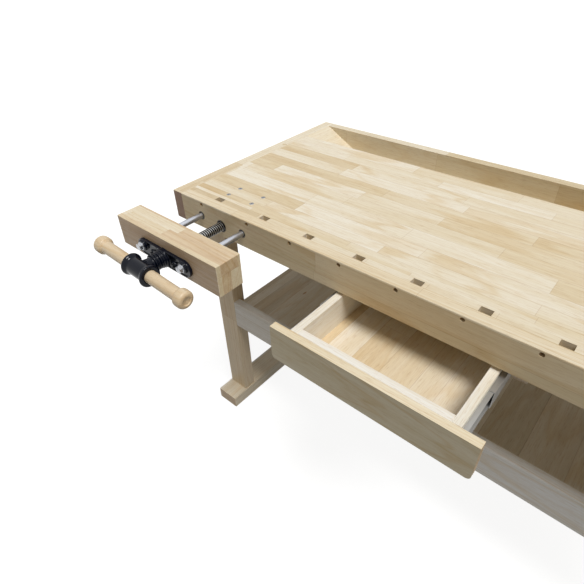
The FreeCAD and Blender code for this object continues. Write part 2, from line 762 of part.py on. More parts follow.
def slides():
    """Steel slides of three members: on the hangers, on the drawer, and one between."""
    nest = "(slide_metal + slide_play)"
    between = f"(slide_thick - {nest})"
    keep(group("slide_outer_members",
               [channel(side, "slide_thick", "(slide_thick - slide_metal)", "slide_play", "0",
                        HANGER_FRONT) for side in (-1, 1)]))
    keep(group("slide_middle_members",
               [channel(side, between, f"({between} - slide_metal)", nest, nest,
                        f"({HANGER_FRONT} - drawer_open / 2)") for side in (-1, 1)]))
    keep(group("slide_inner_members",
               [channel(side, "0", "slide_metal", f"({between} - {nest} - slide_play)", f"(2 * {nest})",
                        FACE_BACK) for side in (-1, 1)]))


def hangers():
    """The two boards under the top that carry the slides, clear of the closed drawer's front."""
    reach = "(drawer_wide / 2 + slide_thick)"
    for label, x in (("drawer_hanger_left", f"drawer_centre - {reach} - hanger_thick"),
                     ("drawer_hanger_right", f"drawer_centre + {reach}")):
        keep(board(label, x, HANGER_FRONT, f"{TOP} - hanger_drop - hanger_lip", "hanger_thick",
                   f"{RAIL_FRONT} - {HANGER_FRONT}", "hanger_drop + hanger_lip - panel_thick"))


# ---------------------------------------------------------------- vises
class Vise:
    """Where a vise stands: its datum is on the bench's face, over the screw, at the worktop.

    Along runs beside the jaw, inward into the bench and up is +Z; these are X, Y and Z
    in the bodies of the vise, which turn with it.
    """

    def __init__(self, name, gap, turn, bracket_set):
        self.name = name
        self.gap = gap
        self.turn = turn
        self.bracket_set = bracket_set

    def place(self, item, along, inward, up, yaw="0", pitch="0"):
        if self.name == "front":
            x, y, turn = f"vise_axis + {along}", inward, yaw
        else:
            x, y, turn = f"top_length - ({inward})", f"vise_axis + {along}", f"90 + {yaw}"
        place(item, f"{LEFT} + {x}", f"{FRONT} + {y}", f"{TOP} + {up}", turn, pitch)

    def body(self, word):
        return body(f"{self.name}_{word}")

    def group(self, word, pieces):
        return group(f"{self.name}_{word}", pieces)

    @property
    def plate_seat(self):
        """The jaw's outer face, which the plate lies on."""
        return f"(0 - {self.gap} - jaw_thick)"

    @property
    def handle_line(self):
        return f"({self.plate_seat} - hub_reach)"


def jaw(vise):
    """The wooden jaw, bored for the screw, the rods and the coach screws."""
    item = vise.body("jaw")
    ease(item, block(item, "Additive", "jaw_inset - vise_axis", "-jaw_thick", "-jaw_height",
                     "jaw_length", "jaw_thick", "jaw_height"))
    outer = "0 - jaw_thick - overcut"
    through = "jaw_thick + 2 * overcut"
    bar(item, "Subtractive", "0", outer, "-screw_drop", "Y", "screw_hole_radius", through)
    for side in (-1, 1):
        bar(item, "Subtractive", f"{side} * rod_offset", outer, "-rod_drop", "Y",
            "rod_radius + rod_seat", through)
        bar(item, "Subtractive", f"{side} * lag_offset", outer, "-lag_drop", "Y",
            "lag_radius", "lag_long - plate_thick - lag_boss_height + overcut")
    vise.place(item, "0", f"(0 - {vise.gap})", "0")
    return item


def flat_face(feature, level):
    """Name of the flat face of a feature that lies square to Y at a level."""
    doc.recompute()
    for index, face in enumerate(feature.Shape.Faces, start=1):
        box = face.BoundBox
        if abs(box.YMin - level) < 1e-4 and abs(box.YMax - level) < 1e-4:
            return f"Face{index}"
    raise RuntimeError(f"no flat face at {level} on {feature.Label}")


def boss_outline():
    """Half outline of the ringed boss, as (radius, distance outward) from the axis out."""
    steps = [("0", "plate_thick / 2")]
    for index in range(int(SIZES["boss_rings"])):
        base = f"(plate_thick + {index} * boss_height / boss_rings)"
        ring = f"(boss_radius - {index} * ring_step)"
        start = "plate_thick / 2" if index == 0 else base
        groove = f"{ring} - ring_deep"
        steps += [(ring, start), (ring, f"{base} + ring_wide"), (groove, f"{base} + ring_wide"),
                  (groove, f"{base} + boss_height / boss_rings")]
    steps.append(("0", "plate_thick + boss_height"))
    return [(radius, f"0 - ({out})") for radius, out in steps]


def jaw_plate(vise):
    """The cast plate on the jaw: a round-ended bar with a ringed boss for the screw."""
    item = vise.body("jaw_plate")
    half, tip = "(plate_height / 2)", "(plate_length / 2)"
    end = f"({tip} - {half})"
    slab = pad(item, "XZ_Plane", [(f"0 - {end}", f"0 - {half}", half), (end, f"0 - {half}"),
                                  (tip, "0", half), (end, half, half),
                                  (f"0 - {end}", half), (f"0 - {tip}", "0", half)], "plate_thick")
    rim = item.newObject("PartDesign::Fillet", "rounded_rim")
    rim.Base = (slab, [flat_face(slab, -number("plate_thick"))])
    bind(rim, "Radius", "plate_thick / 4")
    revolve(item, boss_outline(), "V")
    rise = "screw_drop - rod_drop"
    fall = "screw_drop - lag_drop"
    for side in (-1, 1):
        bosses = ((f"{side} * rod_offset", rise, "end_boss_radius", "end_boss_height", "rod_bolt_radius"),
                  (f"{side} * lag_offset", fall, "lag_boss_radius", "lag_boss_height", "lag_radius"))
        for x, z, radius, height, hole in bosses:
            bar(item, "Additive", x, f"0 - plate_thick - {height}", z, "Y", radius,
                f"{height} + plate_thick / 2")
            bar(item, "Subtractive", x, f"0 - plate_thick - {height} - overcut", z, "Y", hole,
                f"{height} + plate_thick + 2 * overcut")
    bar(item, "Subtractive", "0", "0 - plate_thick - boss_height - overcut", "0", "Y",
        "journal_radius + running_fit", "plate_thick + boss_height + 2 * overcut")
    vise.place(item, "0", vise.plate_seat, "(0 - screw_drop)")
    return item


def guide_rods(vise):
    """Steel rods that run into the bench, each drilled for its bolt."""
    rods = []
    for side in (-1, 1):
        rod = turned("guide_rod", [("0", "rod_radius - edge_ease"), ("edge_ease", "rod_radius"),
                                   ("jaw_thick + screw_reach - edge_ease", "rod_radius"),
                                   ("jaw_thick + screw_reach", "rod_radius - edge_ease")])
        bar(rod, "Subtractive", "-overcut", "0", "0", "X", "rod_bolt_radius", "rod_bolt_grip + overcut")
        vise.place(rod, f"{side} * rod_offset", vise.plate_seat, "(0 - rod_drop)", "90")
        rods.append(rod)
    return vise.group("guide_rods", rods)


def rod_bolt():
    """A hexagon bolt with its washer, along +X from the washer's seat."""
    item = body("rod_bolt")
    grip = "end_boss_height + plate_thick + rod_bolt_grip"
    revolve(item, [("0 - rod_washer_thick", "0"), ("0 - rod_washer_thick", "rod_washer_radius"),
                   ("0", "rod_washer_radius"), ("0", "rod_bolt_radius"), (grip, "rod_bolt_radius"),
                   (grip, "0")], "H")
    head = "0 - rod_washer_thick - rod_bolt_head_height"
    hexagon(item, head, "X", "rod_bolt_head", "rod_bolt_head_height")
    return item


def coach_screw():
    """A low round-headed screw, along +X from its seat."""
    return turned("coach_screw", [("0 - lag_head_height", "lag_head - edge_ease"),
                                  ("edge_ease - lag_head_height", "lag_head"), ("0", "lag_head"),
                                  ("0", "lag_radius"), ("lag_long", "lag_radius")])


def plate_bolts(vise):
    """What holds the plate on: a bolt into each rod and two screws into the jaw."""
    pieces = []
    for side in (-1, 1):
        bolt = rod_bolt()
        vise.place(bolt, f"{side} * rod_offset", f"{vise.plate_seat} - plate_thick - end_boss_height",
                   "(0 - rod_drop)", "90")
        screw = coach_screw()
        vise.place(screw, f"{side} * lag_offset", f"{vise.plate_seat} - plate_thick - lag_boss_height",
                   "(0 - lag_drop)", "90")
        pieces += [bolt, screw]
    return vise.group("plate_bolts", pieces)


def vise_screw(vise):
    """The main screw, with a plain journal where it turns in the plate and the hub."""
    start = "(plate_thick + boss_height + thrust_gap + socket_deep)"
    journal = f"({start} + thrust_gap + thrust_long)"
    end = f"({start} + jaw_thick + screw_reach)"
    item = vise.body("screw")
    revolve(item, [("0", "0"), ("0", "journal_radius"), (journal, "journal_radius"),
                   (journal, "screw_radius"), (f"{end} - 2 * edge_ease", "screw_radius"),
                   (end, "screw_radius - 2 * edge_ease"), (end, "0")], "H")
    vise.place(item, "0", f"{vise.plate_seat} - {start}", "(0 - screw_drop)", "90")
    return item


def thrust_collar(vise):
    """The collar behind the plate that draws the jaw back."""
    item = vise.body("thrust_collar")
    bar(item, "Additive", "0", "0", "0", "X", "thrust_radius", "thrust_long")
    bar(item, "Subtractive", "-overcut", "0", "0", "X", "journal_radius", "thrust_long + 2 * overcut")
    vise.place(item, "0", f"{vise.plate_seat} + thrust_gap", "(0 - screw_drop)", "90")
    return item


def hub(vise):
    """The cast hub: a flared tube for the handle on a ringed neck for the screw."""
    item = vise.body("hub")
    flare = "(hub_half - collar_wide - collar_flare)"
    flat = "(hub_half - collar_wide)"
    revolve(item, [("0 - hub_half", "0"), ("0 - hub_half", "collar_radius"),
                   (f"0 - {flat}", "collar_radius"), (f"0 - {flare}", "hub_radius"),
                   (flare, "hub_radius"), (flat, "collar_radius"),
                   ("hub_half", "collar_radius"), ("hub_half", "0")], "H")
    ring = "(neck_ring_radius - neck_groove_deep)"
    outer = f"({NECK_LONG} - neck_ring_wide)"
    inner = f"({outer} - neck_groove_wide)"
    swell = f"({inner} - neck_ring_wide)"
    revolve(item, [("0", "0"), ("neck_radius", "0"), ("neck_radius", f"{swell} - neck_groove_deep"),
                   ("neck_ring_radius", swell), ("neck_ring_radius", inner), (ring, inner), (ring, outer),
                   ("neck_ring_radius", outer), ("neck_ring_radius", NECK_LONG), ("0", NECK_LONG)], "V")
    bar(item, "Subtractive", "0 - hub_half - overcut", "0", "0", "X",
        "handle_radius + handle_play", "2 * hub_half + 2 * overcut")
    bar(item, "Subtractive", "0", f"{NECK_LONG} - socket_deep", "0", "Y",
        "journal_radius", "socket_deep + overcut")
    vise.place(item, "0", vise.handle_line, "(0 - screw_drop)", "0", vise.turn)
    return item


def handle_bar(vise):
    item = vise.body("handle_bar")
    end = "(handle_half + handle_tenon_long)"
    revolve(item, [(f"0 - {end}", "0"), (f"0 - {end}", "handle_tenon_radius"),
                   ("0 - handle_half", "handle_tenon_radius"), ("0 - handle_half", "handle_radius"),
                   ("handle_half", "handle_radius"), ("handle_half", "handle_tenon_radius"),
                   (end, "handle_tenon_radius"), (end, "0")], "H")
    vise.place(item, "0", vise.handle_line, "(0 - screw_drop)", "0", vise.turn)
    return item


def knob(side):
    """A turned knob with a cove at its shoulder and a recess in its end."""
    item = body("knob")
    outline = [("handle_tenon_long", "0"), ("handle_tenon_long", "handle_tenon_radius"),
               ("0", "handle_tenon_radius"), ("0", "handle_radius"),
               ("knob_flare", "knob_radius", "knob_flare * 1.2"),
               ("knob_long - knob_round", "knob_radius"),
               ("knob_long", "knob_radius - knob_round", "0 - knob_round"),
               ("knob_long", "knob_recess"), ("knob_long - knob_recess_deep", "knob_recess"),
               ("knob_long - knob_recess_deep", "knob_dimple"),
               ("knob_long - knob_recess_deep - knob_dimple / 2", "0")]
    revolve(item, [(f"{side} * (handle_half + {point[0]})", point[1])
                   + tuple(f"{side} * ({bend})" for bend in point[2:]) for point in outline], "H")
    return item


def handle_knobs(vise):
    knobs = []
    for side in (-1, 1):
        item = knob(side)
        vise.place(item, "0", vise.handle_line, "(0 - screw_drop)", "0", vise.turn)
        knobs.append(item)
    return vise.group("handle_knobs", knobs)


def nut_bracket(vise):
    """The cast nut under the top, with a sleeve for each rod on its two arms."""
    item = vise.body("nut_bracket")
    top = "(screw_drop - panel_thick)"
    block(item, "Additive", "-bracket_half", "0", f"{top} - bracket_flange", "2 * bracket_half",
          "bracket_long", "bracket_flange")
    bar(item, "Additive", "0", "0", "0", "Y", "nut_radius", "bracket_long")
    rise = "(screw_drop - rod_drop)"
    block(item, "Additive", "-rod_offset", "arm_start", f"{rise} - arm_height / 2", "2 * rod_offset",
          "arm_thick", "arm_height")
    for side in (-1, 1):
        x = f"{side} * rod_offset"
        bar(item, "Additive", x, "sleeve_start", rise, "Y", "sleeve_radius", "sleeve_long")
        bar(item, "Subtractive", x, "sleeve_start - overcut", rise, "Y",
            "rod_radius + running_fit", "sleeve_long + 2 * overcut")
        for step in (0, 1):
            bar(item, "Subtractive", f"{side} * mount_half", f"mount_start + {step} * mount_pitch",
                f"{top} - bracket_flange - overcut", "Z", "mount_screw_radius + bolt_play",
                "bracket_flange + 2 * overcut")
    bar(item, "Subtractive", "0", "-overcut", "0", "Y", "screw_radius + running_fit",
        "bracket_long + 2 * overcut")
    vise.place(item, "0", vise.bracket_set, "(0 - screw_drop)")
    return item


def mount_screws(vise):
    """Countersunk screws flush with the worktop, each with a nut below the bracket."""
    pieces = []
    seat = "(panel_thick + bracket_flange)"
    for along, inward in bracket_screw_spots(vise.bracket_set):
        screw = turned("mount_screw", [("0", "mount_head_radius"),
                                       ("mount_head_radius - mount_screw_radius", "mount_screw_radius"),
                                       (f"{seat} + mount_nut_height + overcut", "mount_screw_radius")])
        nut = body("mount_nut")
        hexagon(nut, seat, "X", "mount_nut", "mount_nut_height")
        bar(nut, "Subtractive", f"{seat} - overcut", "0", "0", "X", "mount_screw_radius",
            "mount_nut_height + 2 * overcut")
        for item in (screw, nut):
            vise.place(item, along, inward, "0", "0", "90")
            pieces.append(item)
    return vise.group("mount_screws", pieces)


def whole_vise(vise):
    keep(jaw(vise), jaw_plate(vise), plate_bolts(vise), guide_rods(vise))
    keep(vise_screw(vise), thrust_collar(vise), hub(vise))
    keep(handle_bar(vise), handle_knobs(vise))
    keep(nut_bracket(vise), mount_screws(vise))


# ---------------------------------------------------------------- whole bench
worktop()
trestles()
lower_frame()
drawer()
slides()
hangers()
whole_vise(Vise("front", "front_gap", "front_turn", "front_bracket_set"))
whole_vise(Vise("end", "end_gap", "end_turn", "end_bracket_set"))
doc.recompute()

faults = [item.Label for item in doc.Objects if {"Invalid", "Error"} & set(item.State)]
if faults:
    raise RuntimeError(f"features in error: {faults}")
for item in nodes:
    if item.Shape.isNull() or not item.Shape.isValid():
        raise RuntimeError(f"no valid shape: {item.Label}")
    item.Shape.exportStep(f"parts/{item.Label}.step")
print(f"{len(nodes)} parts exported")
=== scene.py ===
"""A joiner's workbench with a front and an end vise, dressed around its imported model."""
import math
from collections import namedtuple

import bpy
from mathutils import Matrix, Vector


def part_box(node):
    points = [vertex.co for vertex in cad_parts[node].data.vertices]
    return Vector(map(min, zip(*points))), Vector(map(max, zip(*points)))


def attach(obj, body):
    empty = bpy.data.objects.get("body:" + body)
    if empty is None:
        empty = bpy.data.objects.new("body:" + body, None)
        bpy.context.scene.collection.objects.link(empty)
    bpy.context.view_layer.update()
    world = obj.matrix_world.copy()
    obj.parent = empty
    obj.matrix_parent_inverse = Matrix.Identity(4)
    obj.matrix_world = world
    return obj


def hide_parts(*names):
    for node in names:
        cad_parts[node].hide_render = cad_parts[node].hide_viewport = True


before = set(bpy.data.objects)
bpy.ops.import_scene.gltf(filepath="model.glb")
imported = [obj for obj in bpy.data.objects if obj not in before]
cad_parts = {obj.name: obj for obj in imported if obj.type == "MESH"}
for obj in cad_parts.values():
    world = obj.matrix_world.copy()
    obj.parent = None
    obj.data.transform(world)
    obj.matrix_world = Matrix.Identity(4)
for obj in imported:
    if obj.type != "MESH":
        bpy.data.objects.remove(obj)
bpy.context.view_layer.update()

bl_info = {
    "name": "Joiner's workbench",
    "version": (1, 0, 0),
    "blender": (4, 5, 0),
    "location": "3D View > Sidebar > Workbench",
    "description": "Builds the hardware and the finishes of a workbench with two vises",
    "category": "Object",
}

BENCH_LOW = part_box("end_cap_left")[0]
BENCH_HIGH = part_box("end_cap_right")[1]
TOP = BENCH_HIGH[2]
MM = 0.001
FULL_TURN, QUARTER_TURN = 2 * math.pi, math.pi / 2


# ---------------------------------------------------------------- sizes and colours
def srgb(code):
    """An sRGB hex colour as linear red, green and blue."""
    shares = [int(code[i:i + 2], 16) / 255 for i in (0, 2, 4)]
    return [c / 12.92 if c <= 0.04045 else ((c + 0.055) / 1.055) ** 2.4 for c in shares]


def colour_setting(label, description, code):
    """A colour that a user can change, from its hex code."""
    return bpy.props.FloatVectorProperty(name=label, description=description, subtype="COLOR",
                                         size=3, min=0, max=1, default=srgb(code))


def length_setting(label, description, size_mm):
    """A length that a user can change, from its size in mm."""
    return bpy.props.FloatProperty(name=label, description=description, subtype="DISTANCE",
                                   unit="LENGTH", default=size_mm * MM)


# wood: (label, deep, warm, middle, pale), from its darkest blocks to its lightest
WOOD_TONES = {
    "top": ("Worktop", "DCC8A3", "E5D5B4", "ECE0C6", "F4ECDA"),
    "apron": ("Apron", "D5C29B", "DECBA7", "E7D6B5", "EEE2C9"),
    "cap": ("End caps", "D8C5A2", "E0CEAD", "E8DABD", "F0E6D0"),
    "tray": ("Tool tray", "D3C19D", "DDCEAD", "E6DABF", "EFE6D1"),
    "jaw": ("Vise jaws", "D3B896", "E2CDAD", "EADCBF", "F3E9D4"),
    "leg": ("Legs", "D3BD9B", "DBC6A5", "E3D0B1", "ECDDC2"),
    # The feet and bearers take paler tones than the legs: painted light, for the light that falls on the
    # tops of the feet.
    "foot": ("Feet", "E0D2B8", "E8DCC5", "EEE4D0", "F4EDDF"),
    # The stretchers and hangers take pale cool grey tones: painted reflection, for a cool bluish reflection
    # seen on the stretchers' fronts.
    "stretcher": ("Stretchers", "D3CCC1", "DDD8CF", "E6E2DB", "EFECE8"),
    "shelf": ("Shelf", "D0C2A7", "DBCDB4", "E4D8C1", "EDE3D0"),
    # The drawer front's tones are dark, partly its own wood and partly painted shade for its front face; its
    # top face is painted lighter again where the drawer is finished.
    "face": ("Drawer front", "B4A684", "BEB090", "C9BC9D", "D2C7AE"),
    "drawer": ("Drawer box", "F2ECDD", "F6F1E6", "F9F6EE", "FBFAF5"),
    "bottom": ("Drawer bottom", "DFCAA5", "E5D2B0", "ECDEC3", "F3EADA"),
    "handle": ("Handles", "D2B68E", "DBC19C", "E3CDAB", "EBDABD"),
}
TONE_NAMES, TONE_STOPS = ("deep", "warm", "middle", "pale"), (0.0, 0.28, 0.6, 1.0)


class BENCH_wood_colours(bpy.types.PropertyGroup):
    """Tones of each wood, from its darkest block to its lightest."""


for _wood, (_label, *_codes) in WOOD_TONES.items():
    for _tone, _code in zip(TONE_NAMES, _codes):
        BENCH_wood_colours.__annotations__[f"{_wood}_{_tone}"] = colour_setting(
            f"{_label}, {_tone}", f"The {_tone} tone of the wood of: {_label.lower()}", _code)


class BENCH_metal_colours(bpy.types.PropertyGroup):
    """Colours of the metal parts."""
    enamel: colour_setting("Black enamel", "Gloss enamel on the castings", "090E1C")
    ground: colour_setting("Ground steel", "Bright guide rods", "C2C5CD")
    zinc: colour_setting("Zinc plate", "Bolts and washers", "BBBEC3")
    oxide: colour_setting("Black oxide", "Dark bolts and collars", "1E1F22")
    screw: colour_setting("Screw steel", "Crests of the vise screws", "CDCDCB")
    sheet: colour_setting("Galvanised sheet", "Drawer slides", "B2B1AE")
    screw_head: colour_setting("Dark screw heads", "Countersunk screws in the worktop", "A3A4A6")


class BENCH_sizes(bpy.types.PropertyGroup):
    """Sizes of the detail that is added to the hardware."""
    # The screws advance 5 mm in a turn. Their threads are drawn a little coarser, so that they still show.
    thread_pitch: length_setting("Thread pitch", "Crest to crest of a vise screw", 6.0)
    thread_depth: length_setting("Thread depth", "Crest to root of a vise screw", 2.6)
    plate_rim: length_setting("Plate rim", "Width of the raised rim of a jaw plate", 3.6)
    plate_recess: length_setting("Plate recess", "Depth of the field inside the rim", 2.2)
    cast_grain: length_setting("Casting fillet", "Size of the rounding on a casting", 0.9)
    socket: length_setting("Socket", "Width across flats of a bolt's hexagon socket", 5.0)


class BENCH_stage(bpy.types.PropertyGroup):
    """Camera and light."""
    lens: bpy.props.FloatProperty(name="Focal length", description="Lens of the camera, in mm",
                                  default=28.88, min=10)
    floor: colour_setting("Floor", "Pale studio floor", "8E8E8C")
    key_power: bpy.props.FloatProperty(name="Key light", description="Strength of the broad soft lamp",
                                       default=2.5, min=0)
    daylight: bpy.props.FloatProperty(name="Daylight", description="Strength of the even light",
                                      default=0.2, min=0, max=2)


# ---------------------------------------------------------------- vises, in mm
VISE_INSET, JAW_THICK = 186.5, 70.0
SCREW_DROP, ROD_DROP, LAG_DROP = 48.0, 42.0, 52.0         # below the worktop's face
ROD_OFFSET, LAG_OFFSET = 76.5, 41.0                       # aside from the screw
SCREW_BORE, ROD_BORE = 15.0, 9.5                          # radii of the bores in the bench
PLATE_LONG, PLATE_HIGH, PLATE_THICK = 198.0, 44.0, 8.0
BOSS_RADIUS, BOSS_HIGH = 24.0, 18.0
ROD_PAD, ROD_PAD_RADIUS, LAG_PAD, LAG_PAD_RADIUS = 5.0, 15.0, 2.0, 9.0     # under the bolts
HUB_REACH, HUB_GAP = 71.0, 0.3                            # jaw to the handle's axis, boss to hub
JOURNAL_RADIUS, SCREW_RADIUS = 10.0, 12.0
JOURNAL_LONG, JOURNAL_IN_HUB = 42.6, 28.0                 # it runs through hub, plate and thrust collar

# where its axis meets the bench's face, quarter turns from facing front, gap, handle's turn
Vise = namedtuple("Vise", "at quarters gap turn")
VISES = {
    "front": Vise(Vector((BENCH_LOW[0] + VISE_INSET * MM, BENCH_LOW[1], TOP)), 0, 107.0, 3.0),
    "end": Vise(Vector((BENCH_HIGH[0], BENCH_LOW[1] + VISE_INSET * MM, TOP)), 1, 24.0, 7.0),
}


def vise_point(vise, aside, inward, up):
    """The point so far in mm from where a vise's axis meets the bench's face."""
    turn = Matrix.Rotation(VISES[vise].quarters * QUARTER_TURN, 3, "Z")
    return VISES[vise].at + turn @ Vector((aside, inward, up)) * MM


# ---------------------------------------------------------------- materials
# A Map Range node's inputs 0 to 4 are a value, the range it comes from and the range it is
# spread over. A Mix node's inputs 0, 6 and 7 are a share and two colours.
TINTED = {"data_type": "RGBA", "blend_type": "MULTIPLY"}
CELLS = {"voronoi_dimensions": "1D"}
EDGES = {"voronoi_dimensions": "1D", "feature": "DISTANCE_TO_EDGE"}

# how often a wood's patterns come in a metre along the grain, across it and through it
GRAIN_RATES = {
    "drift": (2.4, 48.0, 48.0),      # soft changes of tone, 420 mm long and 21 mm wide
    "warp": (5.0, 40.0, 40.0),       # bends of the growth rings, 200 mm long and 25 mm wide
    "fibre": (4.5, 230.0, 230.0),    # streaks 220 mm long and 4 mm wide, coarse so that they show
    "pore": (48.0, 850.0, 850.0),    # dark dashes 21 mm long and 1.2 mm wide, coarse too
    "knot": (4.2, 10.0, 0.0),        # a place for a knot in 240 mm of length and 100 mm of width
}
STAVE_START, LAYER_START, BLOCK_STAGGER = 0.37, 0.61, 7.31
STAVE_SPREAD, LAYER_SPREAD, BLOCK_SPREAD = 0.45, 0.3, 0.8     # how uneven their sizes are
PITH_ASIDE, PITH_BELOW, RING_BEND = 100.0, 160.0, 6.0         # mm, at the most
PITH_LEAN = 0.07                                              # mm in a mm of length, at the most
GLUE_LINE = 0.8                      # mm, wider than life so that the joints show

# what each mark leaves of the wood's own colour
RING_TINT, FIBRE_TINT, PORE_TINT = "EFE1C8", "ECE1CE", "DAC7AD"
KNOT_TINT, GLUE_TINT, END_TINT = "CEAD81", "C4AA8E", "E2CEB8"
BLOCK_END_TINT, CAP_END_TINT, JAW_END_TINT, HANDLE_END_TINT = "FDFCFF", "8B6550", "FFFCF3", "FFF9F1"
# Both are painted shade: the first darkens each jaw's outer face for the shade that the plate and hub cast
# on it, and the second is a near black ring round each bore of a vise, for the shade inside the gap between
# the bore and its steel.
JAW_FACE_PAINTED_SHADE, BORE_GAP_SHADE = "D4C5BA", "1D1918"
TOP_FACE_PAINTED_LIGHT = (1.45, 1.48, 1.60)                         # painted light: how much paler the drawer front's top face is made than its front face, as if lit from above
GAP_SHADE_FULL, GAP_SHADE_GONE = 1.2, 3.0                             # mm beyond the edge of a bore, where the painted shade round it is full and where it is gone


def add(tree, kind, inputs=None, stops=None, **settings):
    """Adds a shader node with its settings and links, and returns its outputs."""
    made = tree.nodes.new(f"ShaderNode{kind}")
    for name, value in settings.items():
        setattr(made, name, value)
    if stops:
        ramp = made.color_ramp
        while len(ramp.elements) < len(stops):
            ramp.elements.new(1.0)
        for element, (position, colour) in zip(ramp.elements, stops):
            element.position = position
            element.color = (*colour, 1.0)
    for key, value in (inputs or {}).items():
        if isinstance(value, bpy.types.NodeSocket):
            tree.links.new(value, made.inputs[key])
        else:
            made.inputs[key].default_value = value
    return made.outputs


def blank(name):
    """A new material with an empty node tree."""
    material = bpy.data.materials.new(name)
    material.use_nodes = True
    material.node_tree.nodes.clear()
    return material, material.node_tree


def timber(name, wood, axes, stave, block, layer=600.0, seed=0.0, figure=1.0, knots=0.0,
           rough=0.47, ring=5.0, end_tint=END_TINT):
    """Glued-up wood: staves side by side, layers behind them, blocks end to end, in mm.

    The eye sees long blocks a little apart in tone, the arcs of the rings, fine fibre
    along the grain, hairline glue joints, and browner end grain. Axes gives the grain's
    direction, the direction across the staves, and the one through the layers.
    """
    material, tree = blank(name)
    place = add(tree, "TexCoord")
    split = add(tree, "SeparateXYZ", {0: place["Object"]})
    along, across, deep = [split[axis] for axis in axes]
    grain = {}
    for pattern, rates in GRAIN_RATES.items():
        if knots or pattern != "knot":
            by_axis = [rates[axes.index(axis)] for axis in range(3)]
            grain[pattern] = add(tree, "VectorMath", {0: place["Object"], 1: by_axis},
                                 operation="MULTIPLY")[0]

    # which stave, layer and block a point is in, and how near it is to their joints
    stave_at = add(tree, "Math", {0: across, 1: 1 / (stave * MM), 2: seed + STAVE_START},
                   operation="MULTIPLY_ADD")[0]
    layer_at = add(tree, "Math", {0: deep, 1: 1 / (layer * MM), 2: seed + LAYER_START},
                   operation="MULTIPLY_ADD")[0]
    staves = {"W": stave_at, "Scale": 1.0, "Randomness": STAVE_SPREAD}
    layers = {"W": layer_at, "Scale": 1.0, "Randomness": LAYER_SPREAD}
    stave_cell = add(tree, "TexVoronoi", staves, **CELLS)["W"]
    stave_edge = add(tree, "TexVoronoi", staves, **EDGES)["Distance"]
    layer_cell = add(tree, "TexVoronoi", layers, **CELLS)["W"]
    shift = add(tree, "Math", {0: stave_cell, 1: BLOCK_STAGGER, 2: layer_cell},
                operation="MULTIPLY_ADD")[0]
    block_at = add(tree, "Math", {0: along, 1: 1 / (block * MM), 2: shift}, operation="MULTIPLY_ADD")[0]
    blocks = {"W": block_at, "Scale": 1.0, "Randomness": BLOCK_SPREAD}
    block_cell = add(tree, "TexVoronoi", blocks, **CELLS)["W"]
    block_edge = add(tree, "TexVoronoi", blocks, **EDGES)["Distance"]
    key = add(tree, "CombineXYZ", {0: stave_cell, 1: layer_cell, 2: block_cell})[0]
    chance = add(tree, "TexWhiteNoise", {"Vector": key}, noise_dimensions="3D")
    draws = add(tree, "SeparateColor", {0: chance["Color"]})

    # each block's own tone, which drifts a little inside it
    drift = add(tree, "TexNoise", {"Vector": grain["drift"], "W": chance["Value"], "Scale": 1.0,
                                   "Detail": 2.0}, noise_dimensions="4D")["Fac"]
    tone = add(tree, "Math", {0: drift, 1: 0.9, 2: -0.45}, operation="MULTIPLY_ADD")[0]
    tone = add(tree, "Math", {0: chance["Value"], 1: tone}, operation="ADD", use_clamp=True)[0]
    tones = [getattr(bpy.context.scene.bench_woods, f"{wood}_{tone_name}") for tone_name in TONE_NAMES]
    colour = add(tree, "ValToRGB", {0: tone}, stops=list(zip(TONE_STOPS, tones)))[0]

    # growth rings about a pith that lies off to one side of each block and leans along it
    off_stave = add(tree, "Math", {0: stave_at, 1: stave_cell}, operation="SUBTRACT")[0]
    pith = add(tree, "Math", {0: draws[0], 1: PITH_ASIDE * MM, 2: -PITH_ASIDE * MM / 2},
               operation="MULTIPLY_ADD")[0]
    side = add(tree, "Math", {0: off_stave, 1: stave * MM, 2: pith}, operation="MULTIPLY_ADD")[0]
    lean = add(tree, "Math", {0: draws[2], 1: PITH_LEAN, 2: -PITH_LEAN / 2}, operation="MULTIPLY_ADD")[0]
    leaned = add(tree, "Math", {0: along, 1: lean, 2: deep}, operation="MULTIPLY_ADD")[0]
    below = add(tree, "Math", {0: draws[1], 1: PITH_BELOW * MM, 2: leaned}, operation="MULTIPLY_ADD")[0]
    flat = add(tree, "CombineXYZ", {0: side, 1: below})[0]
    radius = add(tree, "VectorMath", {0: flat}, operation="LENGTH")[1]
    warp = add(tree, "TexNoise", {"Vector": grain["warp"], "Scale": 1.0, "Detail": 1.0})["Fac"]
    bent = add(tree, "Math", {0: warp, 1: RING_BEND * MM, 2: radius}, operation="MULTIPLY_ADD")[0]
    ring_at = add(tree, "Math", {0: bent, 1: 1 / (ring * MM)}, operation="MULTIPLY")[0]
    rings = add(tree, "TexNoise", {"W": ring_at, "Scale": 1.0, "Detail": 2.0, "Roughness": 0.6},
                noise_dimensions="1D")["Fac"]
    late = add(tree, "MapRange", {0: rings, 1: 0.45, 2: 0.72, 3: 0.0, 4: 0.5 * figure},
               interpolation_type="SMOOTHSTEP")[0]

    fibre = add(tree, "TexNoise", {"Vector": grain["fibre"], "W": chance["Value"], "Scale": 1.0,
                                   "Detail": 4.0, "Roughness": 0.62},
                noise_dimensions="4D")["Fac"]
    streak = add(tree, "MapRange", {0: fibre, 1: 0.42, 2: 0.75, 3: 0.0, 4: 0.55})[0]
    pore = add(tree, "TexNoise", {"Vector": grain["pore"], "Scale": 1.0, "Detail": 1.0})["Fac"]
    dash = add(tree, "MapRange", {0: pore, 1: 0.56, 2: 0.74, 3: 0.0, 4: 0.5})[0]
    marks = [(late, RING_TINT), (streak, FIBRE_TINT), (dash, PORE_TINT)]

